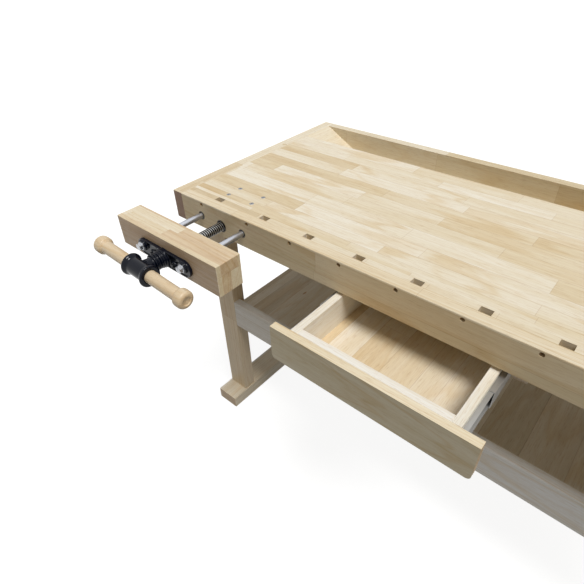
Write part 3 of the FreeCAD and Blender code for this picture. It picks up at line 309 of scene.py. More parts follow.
    # a few small tight knots, 12 mm long and 5 mm wide
    if knots:
        spot = add(tree, "TexVoronoi", {"Vector": grain["knot"], "Scale": 1.0, "Randomness": 1.0})
        chosen = add(tree, "SeparateColor", {0: spot["Color"]})[0]
        rare = add(tree, "Math", {0: chosen, 1: 1.0 - knots}, operation="GREATER_THAN")[0]
        core = add(tree, "MapRange", {0: spot["Distance"], 1: 0.018, 2: 0.055, 3: 0.85, 4: 0.0},
                   interpolation_type="SMOOTHSTEP")[0]
        core = add(tree, "Math", {0: core, 1: rare}, operation="MULTIPLY")[0]
        marks.append((core, KNOT_TINT))

    # hairline glue joints, and end grain, which drinks more oil and is browner
    seam = add(tree, "MapRange", {0: stave_edge, 1: 0.0, 2: GLUE_LINE / stave, 3: 0.5, 4: 0.0})[0]
    butt = add(tree, "MapRange", {0: block_edge, 1: 0.0, 2: GLUE_LINE / block, 3: 0.45, 4: 0.0})[0]
    joint = add(tree, "Math", {0: seam, 1: butt}, operation="MAXIMUM")[0]
    facing = add(tree, "SeparateXYZ", {0: place["Normal"]})[axes[0]]
    facing = add(tree, "Math", {0: facing}, operation="ABSOLUTE")[0]
    end = add(tree, "MapRange", {0: facing, 1: 0.6, 2: 0.95, 3: 0.0, 4: 0.9})[0]
    marks += [(joint, GLUE_TINT), (end, end_tint)]

    for share, tint in marks:
        colour = add(tree, "Mix", {0: share, 6: colour, 7: (*srgb(tint), 1.0)}, **TINTED)[2]
    sheen = add(tree, "MapRange", {0: fibre, 1: 0.3, 2: 0.7, 3: rough - 0.05, 4: rough + 0.09})[0]
    relief = add(tree, "Math", {0: joint, 1: -1.6, 2: fibre}, operation="MULTIPLY_ADD")[0]
    bump = add(tree, "Bump", {"Strength": 0.35, "Distance": 0.25 * MM, "Height": relief})[0]
    shader = add(tree, "BsdfPrincipled", {"Base Color": colour, "Roughness": sheen,
                                          "IOR": 1.5, "Normal": bump})[0]
    add(tree, "OutputMaterial", {0: shader})
    return material


def metal(name, tone, metallic, rough, speck_mm, speck, relief_mm, stretch=(1.0, 1.0, 1.0),
          shade=0.75, rough_spread=0.08, specular=0.5):
    """Metal or enamel whose tone, gloss and surface vary with one fine pattern, in mm."""
    material, tree = blank(name)
    colour = getattr(bpy.context.scene.bench_metals, tone)
    place = add(tree, "TexCoord")["Object"]
    place = add(tree, "Mapping", {"Vector": place, "Scale": stretch})[0]
    pattern = add(tree, "TexNoise", {"Vector": place, "Scale": 1 / (speck_mm * MM), "Detail": 3.0,
                                     "Roughness": 0.55})["Fac"]
    share = add(tree, "MapRange", {0: pattern, 1: 0.35, 2: 0.7, 3: 0.0, 4: speck})[0]
    mixed = add(tree, "Mix", {0: share, 6: (*colour, 1.0), 7: (shade, shade, shade, 1.0)}, **TINTED)[2]
    sheen = add(tree, "MapRange", {0: pattern, 1: 0.3, 2: 0.7, 3: rough, 4: rough + rough_spread})[0]
    bump = add(tree, "Bump", {"Strength": 0.5, "Distance": relief_mm * MM, "Height": pattern})[0]
    shader = add(tree, "BsdfPrincipled", {"Base Color": mixed, "Metallic": metallic,
                                          "Roughness": sheen, "Normal": bump,
                                          "Specular IOR Level": specular})[0]
    add(tree, "OutputMaterial", {0: shader})
    return material


def black_enamel():
    """Cast iron under gloss enamel: near black, faintly blue, with a soft orange peel."""
    return metal("gloss_black_enamel_on_cast_iron", "enamel", 0.0, 0.1,
                 2.5, 0.3, 0.05, rough_spread=0.05, specular=0.24)


def ground_steel(name, stretch):
    """Centreless-ground bar: bright, with fine rings of grinding around it."""
    return metal(name, "ground", 1.0, 0.3, 1.2, 0.12, 0.002, stretch, shade=0.88)


def zinc_plate():
    """Bright zinc on steel: pale silver with a faint bloom."""
    return metal("bright_zinc_plated_steel", "zinc", 1.0, 0.26, 3.0, 0.35, 0.02)


def black_oxide():
    """Oiled black oxide on steel: dark grey, half gloss on the crests."""
    return metal("oiled_black_oxide_steel", "oxide", 0.85, 0.3, 1.5, 0.5, 0.03)


def shader_parts(material):
    """A finished material's tree, its shader's inputs, and the output that colours it."""
    inputs = material.node_tree.nodes["Principled BSDF"].inputs
    return material.node_tree, inputs, inputs["Base Color"].links[0].from_socket


def distance_from_line(tree, vise, aside, drop):
    """How far a point is from the line of a vise's screw or rod."""
    across = (1.0, 0.0, 1.0) if VISES[vise].quarters == 0 else (0.0, 1.0, 1.0)
    offset = add(tree, "VectorMath", {0: add(tree, "TexCoord")["Object"],
                                      1: vise_point(vise, aside, 0.0, -drop)},
                 operation="SUBTRACT")[0]
    offset = add(tree, "VectorMath", {0: offset, 1: across}, operation="MULTIPLY")[0]
    return add(tree, "VectorMath", {0: offset}, operation="LENGTH")[1]


def thread_with_painted_light(vise):
    """Rolled thread under oil: the roots keep the screw's own dark oxide colour, which also stands in for
    painted shade in the grooves, and the crests are bright steel, a painted highlight that is metallic only
    there.
    """
    oxide, depth = bpy.context.scene.bench_metals.oxide, bpy.context.scene.bench_sizes.thread_depth
    material = metal(f"oiled_rolled_{vise}_screw_steel", "screw", 0.9, 0.28, 1.5, 0.3, 0.03,
                     specular=0.12)
    tree, inputs, steel = shader_parts(material)
    radius = distance_from_line(tree, vise, 0.0, SCREW_DROP)
    crest_highlight = add(tree, "MapRange", {0: radius, 1: SCREW_RADIUS * MM - depth * 0.22,
                                   2: SCREW_RADIUS * MM - depth * 0.04})[0]
    mixed = add(tree, "Mix", {0: crest_highlight, 6: (*oxide, 1.0), 7: steel}, data_type="RGBA")[2]
    tree.links.new(mixed, inputs["Base Color"])
    tree.links.new(crest_highlight, inputs["Metallic"])
    return material


def galvanised_sheet():
    """Rolled galvanised sheet: dull silver with long rolling lines."""
    return metal("rolled_galvanised_sheet", "sheet", 1.0, 0.46, 6.0, 0.3, 0.02, (1.0, 0.05, 1.0))


def screw_steel():
    """Burnished steel of a driven screw: dark grey and half dull."""
    return metal("burnished_dark_screw_steel", "screw_head", 0.9, 0.38, 1.5, 0.5, 0.03)


def painted_side_light(material, facing, tint):
    """Paints light or shade on the faces that point one way, by multiplying their colour with a tint."""
    tree, inputs, colour = shader_parts(material)
    normal = add(tree, "TexCoord")["Normal"]
    towards = add(tree, "VectorMath", {0: normal, 1: facing}, operation="DOT_PRODUCT")[1]
    share = add(tree, "MapRange", {0: towards, 1: 0.75, 2: 0.95})[0]
    colour = add(tree, "Mix", {0: share, 6: colour, 7: (*tint, 1.0)}, **TINTED)[2]
    tree.links.new(colour, inputs["Base Color"])
    return material


def painted_bore_shade(material, vise):
    """Paints shade on a wood round a vise's bores: a near black ring that stands in for the shade inside the
    gap between each bore and its steel.
    """
    tree, inputs, colour = shader_parts(material)
    for aside, drop, bore in ((0.0, SCREW_DROP, SCREW_BORE), (-ROD_OFFSET, ROD_DROP, ROD_BORE),
                              (ROD_OFFSET, ROD_DROP, ROD_BORE)):
        radius = distance_from_line(tree, vise, aside, drop)
        mark = add(tree, "MapRange", {0: radius, 1: (bore + GAP_SHADE_FULL) * MM,
                                      2: (bore + GAP_SHADE_GONE) * MM, 3: 0.93, 4: 0.0})[0]
        colour = add(tree, "Mix", {0: mark, 6: colour, 7: (*srgb(BORE_GAP_SHADE), 1.0)}, data_type="RGBA")[2]
    tree.links.new(colour, inputs["Base Color"])
    return material


def finish(material, *names):
    """Gives CAD nodes a material."""
    for name in names:
        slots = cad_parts[name].material_slots
        for slot in slots:
            slot.material = material
        if not slots:
            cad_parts[name].data.materials.append(material)


# ---------------------------------------------------------------- modelling
def only(*pieces):
    """Selects these objects alone, the first of them active."""
    bpy.ops.object.select_all(action="DESELECT")
    for piece in pieces:
        piece.select_set(True)
    bpy.context.view_layer.objects.active = pieces[0]


def settle(piece):
    """Puts a piece's place, turn and scale into its mesh."""
    only(piece)
    bpy.ops.object.transform_apply(location=True, rotation=True, scale=True)
    return piece


def pick(piece, wanted):
    """Opens a piece for editing with only the vertices selected whose place is wanted."""
    only(piece)
    bpy.ops.object.mode_set(mode="EDIT")
    bpy.ops.mesh.select_all(action="DESELECT")
    bpy.ops.object.mode_set(mode="OBJECT")
    for vertex in piece.data.vertices:
        vertex.select = wanted(vertex.co)
    bpy.ops.object.mode_set(mode="EDIT")


def modify(piece, kind, **settings):
    """Adds a modifier with its settings and applies it."""
    only(piece)
    bpy.ops.object.modifier_add(type=kind)
    modifier = piece.modifiers[-1]
    for name, value in settings.items():
        setattr(modifier, name, value)
    bpy.ops.object.modifier_apply(modifier=modifier.name)
    return piece


def cut(piece, tool, operation="DIFFERENCE"):
    """Joins, cuts or trims a piece with a second solid, which is used up."""
    modify(piece, "BOOLEAN", object=tool, operation=operation, solver="EXACT")
    bpy.data.objects.remove(tool)
    return piece


def turned(name, outline, at, along, steps=48):
    """A shape turned about a line: outline is (distance along, radius) pairs in mm.

    An outline that ends where it starts gives a ring, and one that starts and ends at
    radius 0 gives a solid.
    """
    at, along = Vector(at), Vector(along).normalized()
    other = (0.0, 1.0, 0.0) if abs(along.y) < 0.9 else (1.0, 0.0, 0.0)
    side = along.cross(Vector(other)).normalized()
    points = [at + (along * a + side * r) * MM for a, r in outline]
    bpy.ops.object.select_all(action="DESELECT")
    bpy.ops.mesh.primitive_plane_add(size=MM)
    piece = bpy.context.object
    piece.name = name
    bpy.ops.object.mode_set(mode="EDIT")
    bpy.ops.mesh.merge(type="CENTER")
    bpy.ops.transform.translate(value=points[0])
    for start, end in zip(points, points[1:]):
        bpy.ops.mesh.extrude_region_move(TRANSFORM_OT_translate={"value": end - start})
    bpy.ops.mesh.select_all(action="SELECT")
    bpy.ops.mesh.spin(steps=steps, angle=FULL_TURN, center=at, axis=along)
    bpy.ops.mesh.select_all(action="SELECT")
    bpy.ops.mesh.remove_doubles(threshold=0.02 * MM)
    bpy.ops.mesh.normals_make_consistent(inside=False)
    bpy.ops.object.mode_set(mode="OBJECT")
    return piece


def arc(centre, radius, start, end, count):
    """Outline points (distance along, radius) round a corner, in mm and degrees."""
    turns = [math.radians(start + (end - start) * i / count) for i in range(count + 1)]
    return [(centre[0] + radius * math.cos(t), centre[1] + radius * math.sin(t)) for t in turns]


def mirrored(end):
    """A whole outline from the half of it that lies before its middle."""
    return end + [(-along, radius) for along, radius in reversed(end)]


def prism(name, corners, across, height, at, along):
    """A regular prism that stands at a point along a line, in mm."""
    along = Vector(along)
    bpy.ops.object.select_all(action="DESELECT")
    bpy.ops.mesh.primitive_cylinder_add(vertices=corners, radius=across * MM, depth=height * MM,
                                        location=Vector(at) + along * height * MM / 2,
                                        rotation=along.to_track_quat("Z", "Y").to_euler())
    piece = bpy.context.object
    piece.name = name
    return settle(piece)


def gather(name, pieces):
    """Joins objects into one piece of that name."""
    only(*pieces)
    if len(pieces) > 1:
        bpy.ops.object.join()
    pieces[0].name = name
    pieces[0].data.name = name
    return pieces[0]


def twin(piece, name):
    """A copy of a piece with its own mesh."""
    only(piece)
    bpy.ops.object.duplicate(linked=False)
    bpy.context.object.name = name
    bpy.context.object.data.name = name
    return bpy.context.object


def cast(piece, grain, rounds):
    """Rounds every edge and inner corner of a shape as a sand mould does."""
    modify(piece, "REMESH", mode="VOXEL", voxel_size=grain)
    modify(piece, "SMOOTH", factor=0.5, iterations=rounds)
    return piece


def smooth(piece, angle):
    """Shades a piece smooth, but for edges sharper than an angle in degrees."""
    only(piece)
    bpy.ops.object.shade_smooth_by_angle(angle=math.radians(angle))
    return piece


def dress(piece, material, slot, body, *nodes):
    """Gives a piece its finish and fixes it to the model in place of the CAD nodes."""
    piece.data.materials.clear()
    piece.data.materials.append(material)
    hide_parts(*nodes)
    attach(piece, body)
    return piece


# ---------------------------------------------------------------- pieces
def mount(piece, vise, turned_with_handle=False):
    """Moves a piece from the drawing board to its vise.

    On the board a vise faces -Y, X runs along the jaw, the jaw's face for its plate is
    at Y 0 and the screw's line is at Z 0.
    """
    at, quarters, gap, turn = VISES[vise]
    turn = Matrix.Rotation(math.radians(turn) if turned_with_handle else 0.0, 4, "Y")
    set_out = Matrix.Translation((0.0, -(gap + JAW_THICK) * MM, -SCREW_DROP * MM))
    piece.matrix_world = (Matrix.Translation(at) @ Matrix.Rotation(quarters * QUARTER_TURN, 4, "Z")
                          @ set_out @ turn)
    return settle(piece)


def both(piece, label, material, slot, body, nodes, turned_with_handle=False):
    """Mounts a piece on the end vise as a copy, and on the front vise itself."""
    for vise, item in (("end", twin(piece, f"end_{label}")), ("front", piece)):
        item.name = f"{vise}_{label}"
        item.data.name = item.name
        mount(item, vise, turned_with_handle)
        dress(item, material, slot, f"{vise}_{body}", *[f"{vise}_{node}" for node in nodes])


def chamfered_hexagon(name, corner_radius, height, at, along):
    """A hexagon bolt head whose outer corners are turned off."""
    head = prism(name, 6, corner_radius, height, at, along)
    face = corner_radius * math.cos(math.pi / 6) * 0.94       # a little inside the flats
    drop = (corner_radius - face) * math.tan(math.radians(30))
    clear = corner_radius * 1.2
    trim = turned("trim", [(-1.0, 0.0), (-1.0, clear), (height - drop, clear),
                           (height - drop, corner_radius), (height, face), (height, 0.0)], at, along)
    return cut(head, trim, "INTERSECT")


class BENCH_OT_worktop(bpy.types.Operator):
    """Oils the laminated worktop, its end caps, the apron and the dog hole blocks"""
    bl_idname = "bench.worktop"
    bl_label = "Worktop"

    def execute(self, context):
        finish(timber("oiled_beech_worktop", "top", (0, 1, 2), 46, 330, seed=5.2, knots=0.14, figure=1.4),
               "top_panel")
        apron = timber("oiled_beech_apron_front", "apron", (0, 2, 1), 47, 520, seed=3.3, figure=1.3)
        # The apron gets painted shade round the front vise's bores.
        finish(painted_bore_shade(apron, "front"), "apron_front_lamination")
        finish(timber("oiled_beech_dog_blocks", "cap", (0, 1, 2), 70, 138, seed=5.1,
                      end_tint=BLOCK_END_TINT), "dog_hole_blocks")
        finish(timber("oiled_beech_apron_rear", "top", (0, 1, 2), 70, 420, seed=8.2),
               "apron_rear_lamination")
        left, right = [timber(f"oiled_beech_end_cap_{side}", "cap", (1, 2, 0), 90, 260, seed=1.7, figure=0.8,
                              end_tint=CAP_END_TINT) for side in ("left", "right")]
        finish(left, "end_cap_left")
        # The right end cap gets painted shade round the end vise's bores.
        finish(painted_bore_shade(right, "end"), "end_cap_right")
        finish(timber("beech_cross_grain_plugs", "cap", (1, 0, 2), 60, 60, seed=4.4, figure=1.4),
               "cap_plugs")
        return {"FINISHED"}


class BENCH_OT_tray(bpy.types.Operator):
    """Oils the tool tray, its ramps and the back board"""
    bl_idname = "bench.tray"
    bl_label = "Tool tray"

    def execute(self, context):
        finish(timber("oiled_beech_tray", "tray", (0, 1, 2), 58, 480, seed=2.6), "tray_floor", "tray_rail")
        finish(timber("oiled_beech_tray_ramps", "top", (1, 0, 2), 190, 900, seed=6.9, figure=0.8),
               "tray_ramp_left", "tray_ramp_right")
        finish(timber("oiled_beech_back_board", "tray", (0, 2, 1), 90, 330, seed=7.9), "back_board")
        return {"FINISHED"}


class BENCH_OT_trestles(bpy.types.Operator):
    """Sands the legs, feet, bearers, stretchers, shelf and drawer hangers"""
    bl_idname = "bench.trestles"
    bl_label = "Trestles and shelf"

    def execute(self, context):
        legs = [f"leg_{end}_{side}" for end in ("front", "rear") for side in ("left", "right")]
        finish(timber("sanded_beech_legs", "leg", (2, 0, 1), 140, 2000, seed=9.5, figure=1.2), *legs)
        # The foot tones are painted light: paler than the legs, for the light on the foot tops.
        finish(timber("sanded_beech_feet", "foot", (1, 0, 2), 160, 2000, seed=2.2),
               "foot_left", "foot_right", "bearer_left", "bearer_right")
        # The stretchers' pale cool tones are a painted reflection.
        finish(timber("sanded_beech_stretchers", "stretcher", (0, 2, 1), 140, 2000, seed=4.7),
               "stretcher_front", "stretcher_rear")
        finish(timber("sanded_beech_shelf", "shelf", (1, 0, 2), 96, 2600, seed=6.8, knots=0.1, figure=1.2),
               "shelf_boards")
        finish(timber("sanded_beech_cleats", "shelf", (0, 1, 2), 60, 900, seed=3.9), "shelf_cleats")
        finish(timber("sanded_beech_hangers", "stretcher", (1, 2, 0), 130, 900, seed=5.6),
               "drawer_hanger_left", "drawer_hanger_right")
        return {"FINISHED"}


class BENCH_OT_drawer(bpy.types.Operator):
    """Finishes the drawer's front, box and bottom"""
    bl_idname = "bench.drawer"
    bl_label = "Drawer"

    def execute(self, context):
        front = timber("sanded_beech_drawer_front", "face", (0, 2, 1), 200, 4000, seed=11.4, figure=1.6,
                       ring=4.0)
        # The drawer front's top face gets painted light: its colour is lifted paler than the front face, as
        # if lit from above.
        finish(painted_side_light(front, (0.0, 0.0, 1.0), TOP_FACE_PAINTED_LIGHT), "drawer_front")
        finish(timber("pale_poplar_drawer_sides", "drawer", (1, 2, 0), 140, 1500, seed=1.9, figure=0.5),
               "drawer_side_left", "drawer_side_right")
        finish(timber("pale_poplar_drawer_ends", "drawer", (0, 2, 1), 140, 1500, seed=3.1, figure=0.5),
               "drawer_inner_front", "drawer_back")
        finish(timber("pale_poplar_drawer_bottom", "bottom", (1, 0, 2), 62, 1500, seed=3.4, figure=1.1),
               "drawer_bottom")
        return {"FINISHED"}


class BENCH_OT_slides(bpy.types.Operator):
    """Finishes the drawer slides and the barrel nuts"""
    bl_idname = "bench.slides"
    bl_label = "Drawer slides"

    def execute(self, context):
        finish(galvanised_sheet(), "slide_inner_members", "slide_middle_members", "slide_outer_members")
        finish(black_oxide(), "barrel_nuts", "front_thrust_collar", "end_thrust_collar")
        return {"FINISHED"}


class BENCH_OT_jaws(bpy.types.Operator):
    """Oils the laminated jaws"""
    bl_idname = "bench.jaws"
    bl_label = "Vise jaws"

    def execute(self, context):
        for vise, axes, seed, facing in (("front", (0, 2, 1), 5.3, (0.0, -1.0, 0.0)),
                                         ("end", (1, 2, 0), 15.3, (1.0, 0.0, 0.0))):
            wood = timber(f"oiled_beech_{vise}_jaw", "jaw", axes, 200, 230, layer=24, seed=seed, figure=1.1,
                          end_tint=JAW_END_TINT)
            # Each jaw's outer face gets painted shade, darker than the rest of the jaw, for the shade that
            # the plate and hub cast on it.
            finish(painted_side_light(wood, facing, srgb(JAW_FACE_PAINTED_SHADE)), f"{vise}_jaw")
        return {"FINISHED"}


class BENCH_OT_guide_rods(bpy.types.Operator):
    """Finishes the ground guide rods and the cast nut brackets"""
    bl_idname = "bench.guide_rods"
    bl_label = "Guide rods and brackets"

    def execute(self, context):
        finish(ground_steel("ground_steel_rods_front", (0.06, 1.0, 0.06)), "front_guide_rods")
        finish(ground_steel("ground_steel_rods_end", (1.0, 0.06, 0.06)), "end_guide_rods")
        finish(black_enamel(), "front_nut_bracket", "end_nut_bracket")
        return {"FINISHED"}


class BENCH_OT_vise_screws(bpy.types.Operator):
    """Cuts the thread of both vise screws"""
    bl_idname = "bench.vise_screws"
    bl_label = "Vise screws"

    def execute(self, context):
        sizes = context.scene.bench_sizes
        pitch, root = sizes.thread_pitch / MM, SCREW_RADIUS - sizes.thread_depth / MM
        profile = [(0.0, root), (pitch * 0.32, root), (pitch * 0.52, SCREW_RADIUS),
                   (pitch * 0.80, SCREW_RADIUS), (pitch, root)]
        start = -(PLATE_THICK + BOSS_HIGH + HUB_GAP + JOURNAL_IN_HUB)
        buried = JOURNAL_LONG + 1.5
        steps = 28                        # to one turn
        for vise in VISES:
            low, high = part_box(f"{vise}_screw")
            threaded = max(high - low) / MM - JOURNAL_LONG
            screw = turned("thread", profile, (0, 0, 0), (0, 0, 1), steps=1)
            modify(screw, "SCREW", axis="Z", steps=steps, render_steps=steps, screw_offset=pitch * MM,
                   iterations=math.ceil(threaded / pitch) + 2, use_merge_vertices=True,
                   merge_threshold=0.01 * MM)
            bpy.ops.object.mode_set(mode="EDIT")
            for cut_at, clear_inner in ((pitch, True), (pitch + threaded, False)):
                bpy.ops.mesh.select_all(action="SELECT")
                bpy.ops.mesh.bisect(plane_co=(0, 0, cut_at * MM), plane_no=(0, 0, 1), use_fill=True,
                                    clear_inner=clear_inner, clear_outer=not clear_inner)
            bpy.ops.mesh.select_all(action="SELECT")
            bpy.ops.mesh.normals_make_consistent(inside=False)
            bpy.ops.object.mode_set(mode="OBJECT")
            screw.matrix_world = (Matrix.Translation((0, (start + JOURNAL_LONG - pitch) * MM, 0))
                                  @ Matrix.Rotation(-QUARTER_TURN, 4, "X"))
            settle(screw)
            journal = turned("journal", [(0.0, 0.0), (0.0, JOURNAL_RADIUS - 1.0), (1.0, JOURNAL_RADIUS),
                                         (JOURNAL_LONG, JOURNAL_RADIUS), (JOURNAL_LONG, root + 0.6),
                                         (buried, root + 0.6), (buried, 0.0)], (0, start * MM, 0), (0, 1, 0))
            screw = smooth(gather(f"{vise}_threaded_screw", [screw, journal]), 40)
            mount(screw, vise)
            # The thread gets a painted highlight on its crests and painted shade in its roots.
            dress(screw, thread_with_painted_light(vise), "black_steel", f"{vise}_screw_and_hub", f"{vise}_screw")
        return {"FINISHED"}


class BENCH_OT_hubs(bpy.types.Operator):
    """Casts the hubs that carry the handles"""
    bl_idname = "bench.hubs"
    bl_label = "Hubs"

    def execute(self, context):
        half, tube, collar, bore = 38.0, 21.0, 27.0, 16.3
        end = [(-half, bore), (-half, collar - 2.5)]
        end += arc((-half + 2.5, collar - 2.5), 2.5, 180, 90, 4)
        end += [(-half + 5.0, collar), (-half + 7.0, collar - 1.0), (-half + 12.0, tube + 0.8),
                (-half + 15.0, tube)]
        outline = mirrored(end) + end[:1]
        axis = (0, -HUB_REACH * MM, 0)
        hub = turned("hub", outline, axis, (1, 0, 0), steps=64)
        neck_end = HUB_REACH - PLATE_THICK - BOSS_HIGH - HUB_GAP
        neck = [(17.0, 0.0), (17.0, 17.6), (neck_end - 14.5, 16.0), (neck_end - 12.0, 17.5),
                (neck_end - 12.0, 21.0), (neck_end - 7.5, 21.0), (neck_end - 7.5, 18.0),
                (neck_end - 4.5, 18.0), (neck_end - 4.5, 21.0), (neck_end, 21.0), (neck_end, 0.0)]
        cut(hub, turned("neck", neck, axis, (0, 1, 0), steps=64), "UNION")
        cast(hub, context.scene.bench_sizes.cast_grain, 4)
        smooth(hub, 180)
        both(hub, "cast_hub", black_enamel(), "black_casting", "screw_and_hub", ["hub"], True)
        return {"FINISHED"}


class BENCH_OT_jaw_plates(bpy.types.Operator):
    """Casts the rimmed plates on the jaws, with their ringed necks"""
    bl_idname = "bench.jaw_plates"
    bl_label = "Jaw plates"

    def execute(self, context):
        sizes = context.scene.bench_sizes
        outward = (0, -1, 0)
        half, slide = PLATE_HIGH / 2, (PLATE_LONG - PLATE_HIGH) / 2
        bpy.ops.object.select_all(action="DESELECT")
        bpy.ops.mesh.primitive_circle_add(vertices=96, radius=half * MM, fill_type="NGON",
                                          rotation=(QUARTER_TURN, 0, 0))
        plate = settle(bpy.context.object)
        for side in (-1, 1):
            pick(plate, lambda place: place.x * side > 0.01 * MM)
            bpy.ops.transform.translate(value=(side * slide * MM, 0, 0))
            bpy.ops.object.mode_set(mode="OBJECT")
        only(plate)
        bpy.ops.object.mode_set(mode="EDIT")
        bpy.ops.mesh.select_mode(type="FACE")
        bpy.ops.mesh.select_all(action="SELECT")
        bpy.ops.mesh.extrude_region_move(TRANSFORM_OT_translate={"value": (0, -PLATE_THICK * MM, 0)})
        bpy.ops.mesh.inset(thickness=sizes.plate_rim, depth=0)
        bpy.ops.mesh.inset(thickness=1.2 * MM, depth=-sizes.plate_recess)
        bpy.ops.mesh.select_all(action="SELECT")
        bpy.ops.mesh.normals_make_consistent(inside=False)
        bpy.ops.mesh.select_mode(type="VERT")
        bpy.ops.object.mode_set(mode="OBJECT")
        tiers, step_in, groove = 3, 1.5, 2.5          # rings of the neck, each narrower than the last
        tier = BOSS_HIGH / tiers
        rings = [(0.5, 0.0), (0.5, BOSS_RADIUS), (PLATE_THICK + 4.0, BOSS_RADIUS)]
        for index in range(tiers):
            outer, base = BOSS_RADIUS - step_in * index, PLATE_THICK + tier * index
            rings += [(base + 4.0, outer), (base + 4.3, outer - groove), (base + tier, outer - groove)]
            if index < tiers - 1:
                rings.append((base + tier + 0.3, outer - step_in))
        rings.append((PLATE_THICK + BOSS_HIGH, 0.0))
        cut(plate, turned("boss", rings, (0, 0, 0), outward, 64), "UNION")
        for side in (-1, 1):
            for offset, drop, radius, height in ((ROD_OFFSET, ROD_DROP, ROD_PAD_RADIUS, ROD_PAD),
                                                 (LAG_OFFSET, LAG_DROP, LAG_PAD_RADIUS, LAG_PAD)):
                pad = [(1.0, 0.0), (1.0, radius), (PLATE_THICK + height - 0.8, radius - 0.3),
                       (PLATE_THICK + height, radius - 1.2), (PLATE_THICK + height, 0.0)]
                at = (side * offset * MM, 0, (SCREW_DROP - drop) * MM)
                cut(plate, turned("pad", pad, at, outward), "UNION")
        cast(plate, sizes.cast_grain, 2)
        smooth(plate, 180)
        both(plate, "cast_jaw_plate", black_enamel(), "black_casting", "jaw_carriage", ["jaw_plate"])
        return {"FINISHED"}


class BENCH_OT_plate_bolts(bpy.types.Operator):
    """Fits the bright rod bolts with their washers, and the dark coach screws"""
    bl_idname = "bench.plate_bolts"
    bl_label = "Plate bolts"

    def execute(self, context):
        outward, zinc, oxide = (0, -1, 0), zinc_plate(), black_oxide()
        washer = [(0.0, 0.0), (0.0, 10.5), (1.4, 10.5), (2.0, 9.9), (2.0, 0.0)]
        rod_shank = [(-34.0, 0.0), (-34.0, 4.2), (-33.0, 5.0), (0.5, 5.0), (0.5, 0.0)]
        lag_shank = [(-36.0, 0.0), (-30.0, 2.6), (-20.0, 3.0), (0.5, 3.0), (0.5, 0.0)]
        rod_seat, lag_seat = PLATE_THICK + ROD_PAD, PLATE_THICK + LAG_PAD
        bright, dark = [], []
        for side in (-1, 1):
            at = Vector((side * ROD_OFFSET * MM, -rod_seat * MM, (SCREW_DROP - ROD_DROP) * MM))
            bright += [turned("washer", washer, at, outward),
                       chamfered_hexagon("head", 9.8, 8.0, at + Vector((0, -2.0, 0)) * MM, outward),
                       turned("shank", rod_shank, at, outward, 24)]
            at = Vector((side * LAG_OFFSET * MM, -lag_seat * MM, (SCREW_DROP - LAG_DROP) * MM))
            dark += [chamfered_hexagon("head", 6.0, 4.0, at, outward),
                     turned("shank", lag_shank, at, outward, 24)]
        rod_bolts = smooth(gather("rod_bolts", bright), 30)
        coach_screws = smooth(gather("coach_screws", dark), 30)
        both(rod_bolts, "rod_bolts", zinc, "zinc_steel", "jaw_carriage", ["plate_bolts"])
        both(coach_screws, "coach_screws", oxide, "black_steel", "jaw_carriage", [])
        return {"FINISHED"}


class BENCH_OT_handles(bpy.types.Operator):
    """Turns the handles and the knobs on their ends"""
    bl_idname = "bench.handles"
    bl_label = "Handles and knobs"

    def execute(self, context):
        half, thick, tenon, knob_long = 134.5, 15.8, 13.5, 30.0
        at = (0, -HUB_REACH * MM, 0)
        end = [(-half - tenon, 0.0), (-half - tenon, 8.6), (-half - 12.9, 9.0), (-half, 9.0),
               (-half, thick - 0.6), (-half + 0.6, thick)]
        bar = smooth(turned("bar", mirrored(end), at, (1, 0, 0), 64), 40)
        outline = [(14.0, 0.0), (14.0, 9.0), (0.1, 9.0), (0.1, 15.4), (0.5, 15.9), (1.2, 16.6), (2.4, 17.8),
                   (3.8, 19.3), (5.6, 20.8), (7.8, 21.7), (10.5, 22.0), (17.0, 22.0), (20.0, 21.7)]
        outline += arc((21.0, 13.0), 9.0, 80, 12, 8)
        outline += [(knob_long, 12.6), (knob_long, 10.9), (29.6, 10.4), (28.2, 10.1), (28.0, 9.6),
                    (28.0, 4.6), (27.6, 3.2), (26.8, 1.6), (26.5, 0.0)]
        knobs = []
        for side in (-1, 1):
            shifted = [(side * (half + along), radius) for along, radius in outline]
            knobs.append(turned("knob", shifted, at, (1, 0, 0), 64))
        knobs = smooth(gather("knobs", knobs), 50)
        for vise, axes in (("front", (0, 1, 2)), ("end", (1, 0, 2))):
            wood = timber(f"turned_oiled_beech_{vise}_handle", "handle", axes, 160, 2000, seed=2.9,
                          figure=0.9, rough=0.4, end_tint=HANDLE_END_TINT)
            for source, label, node in ((bar, "turned_bar", "handle_bar"),
                                        (knobs, "turned_knobs", "handle_knobs")):
                piece = twin(source, f"{vise}_{label}")
                mount(piece, vise, True)
                dress(piece, wood, "handle_wood", f"{vise}_handle", f"{vise}_{node}")
        for source in (bar, knobs):
            bpy.data.objects.remove(source)
        return {"FINISHED"}


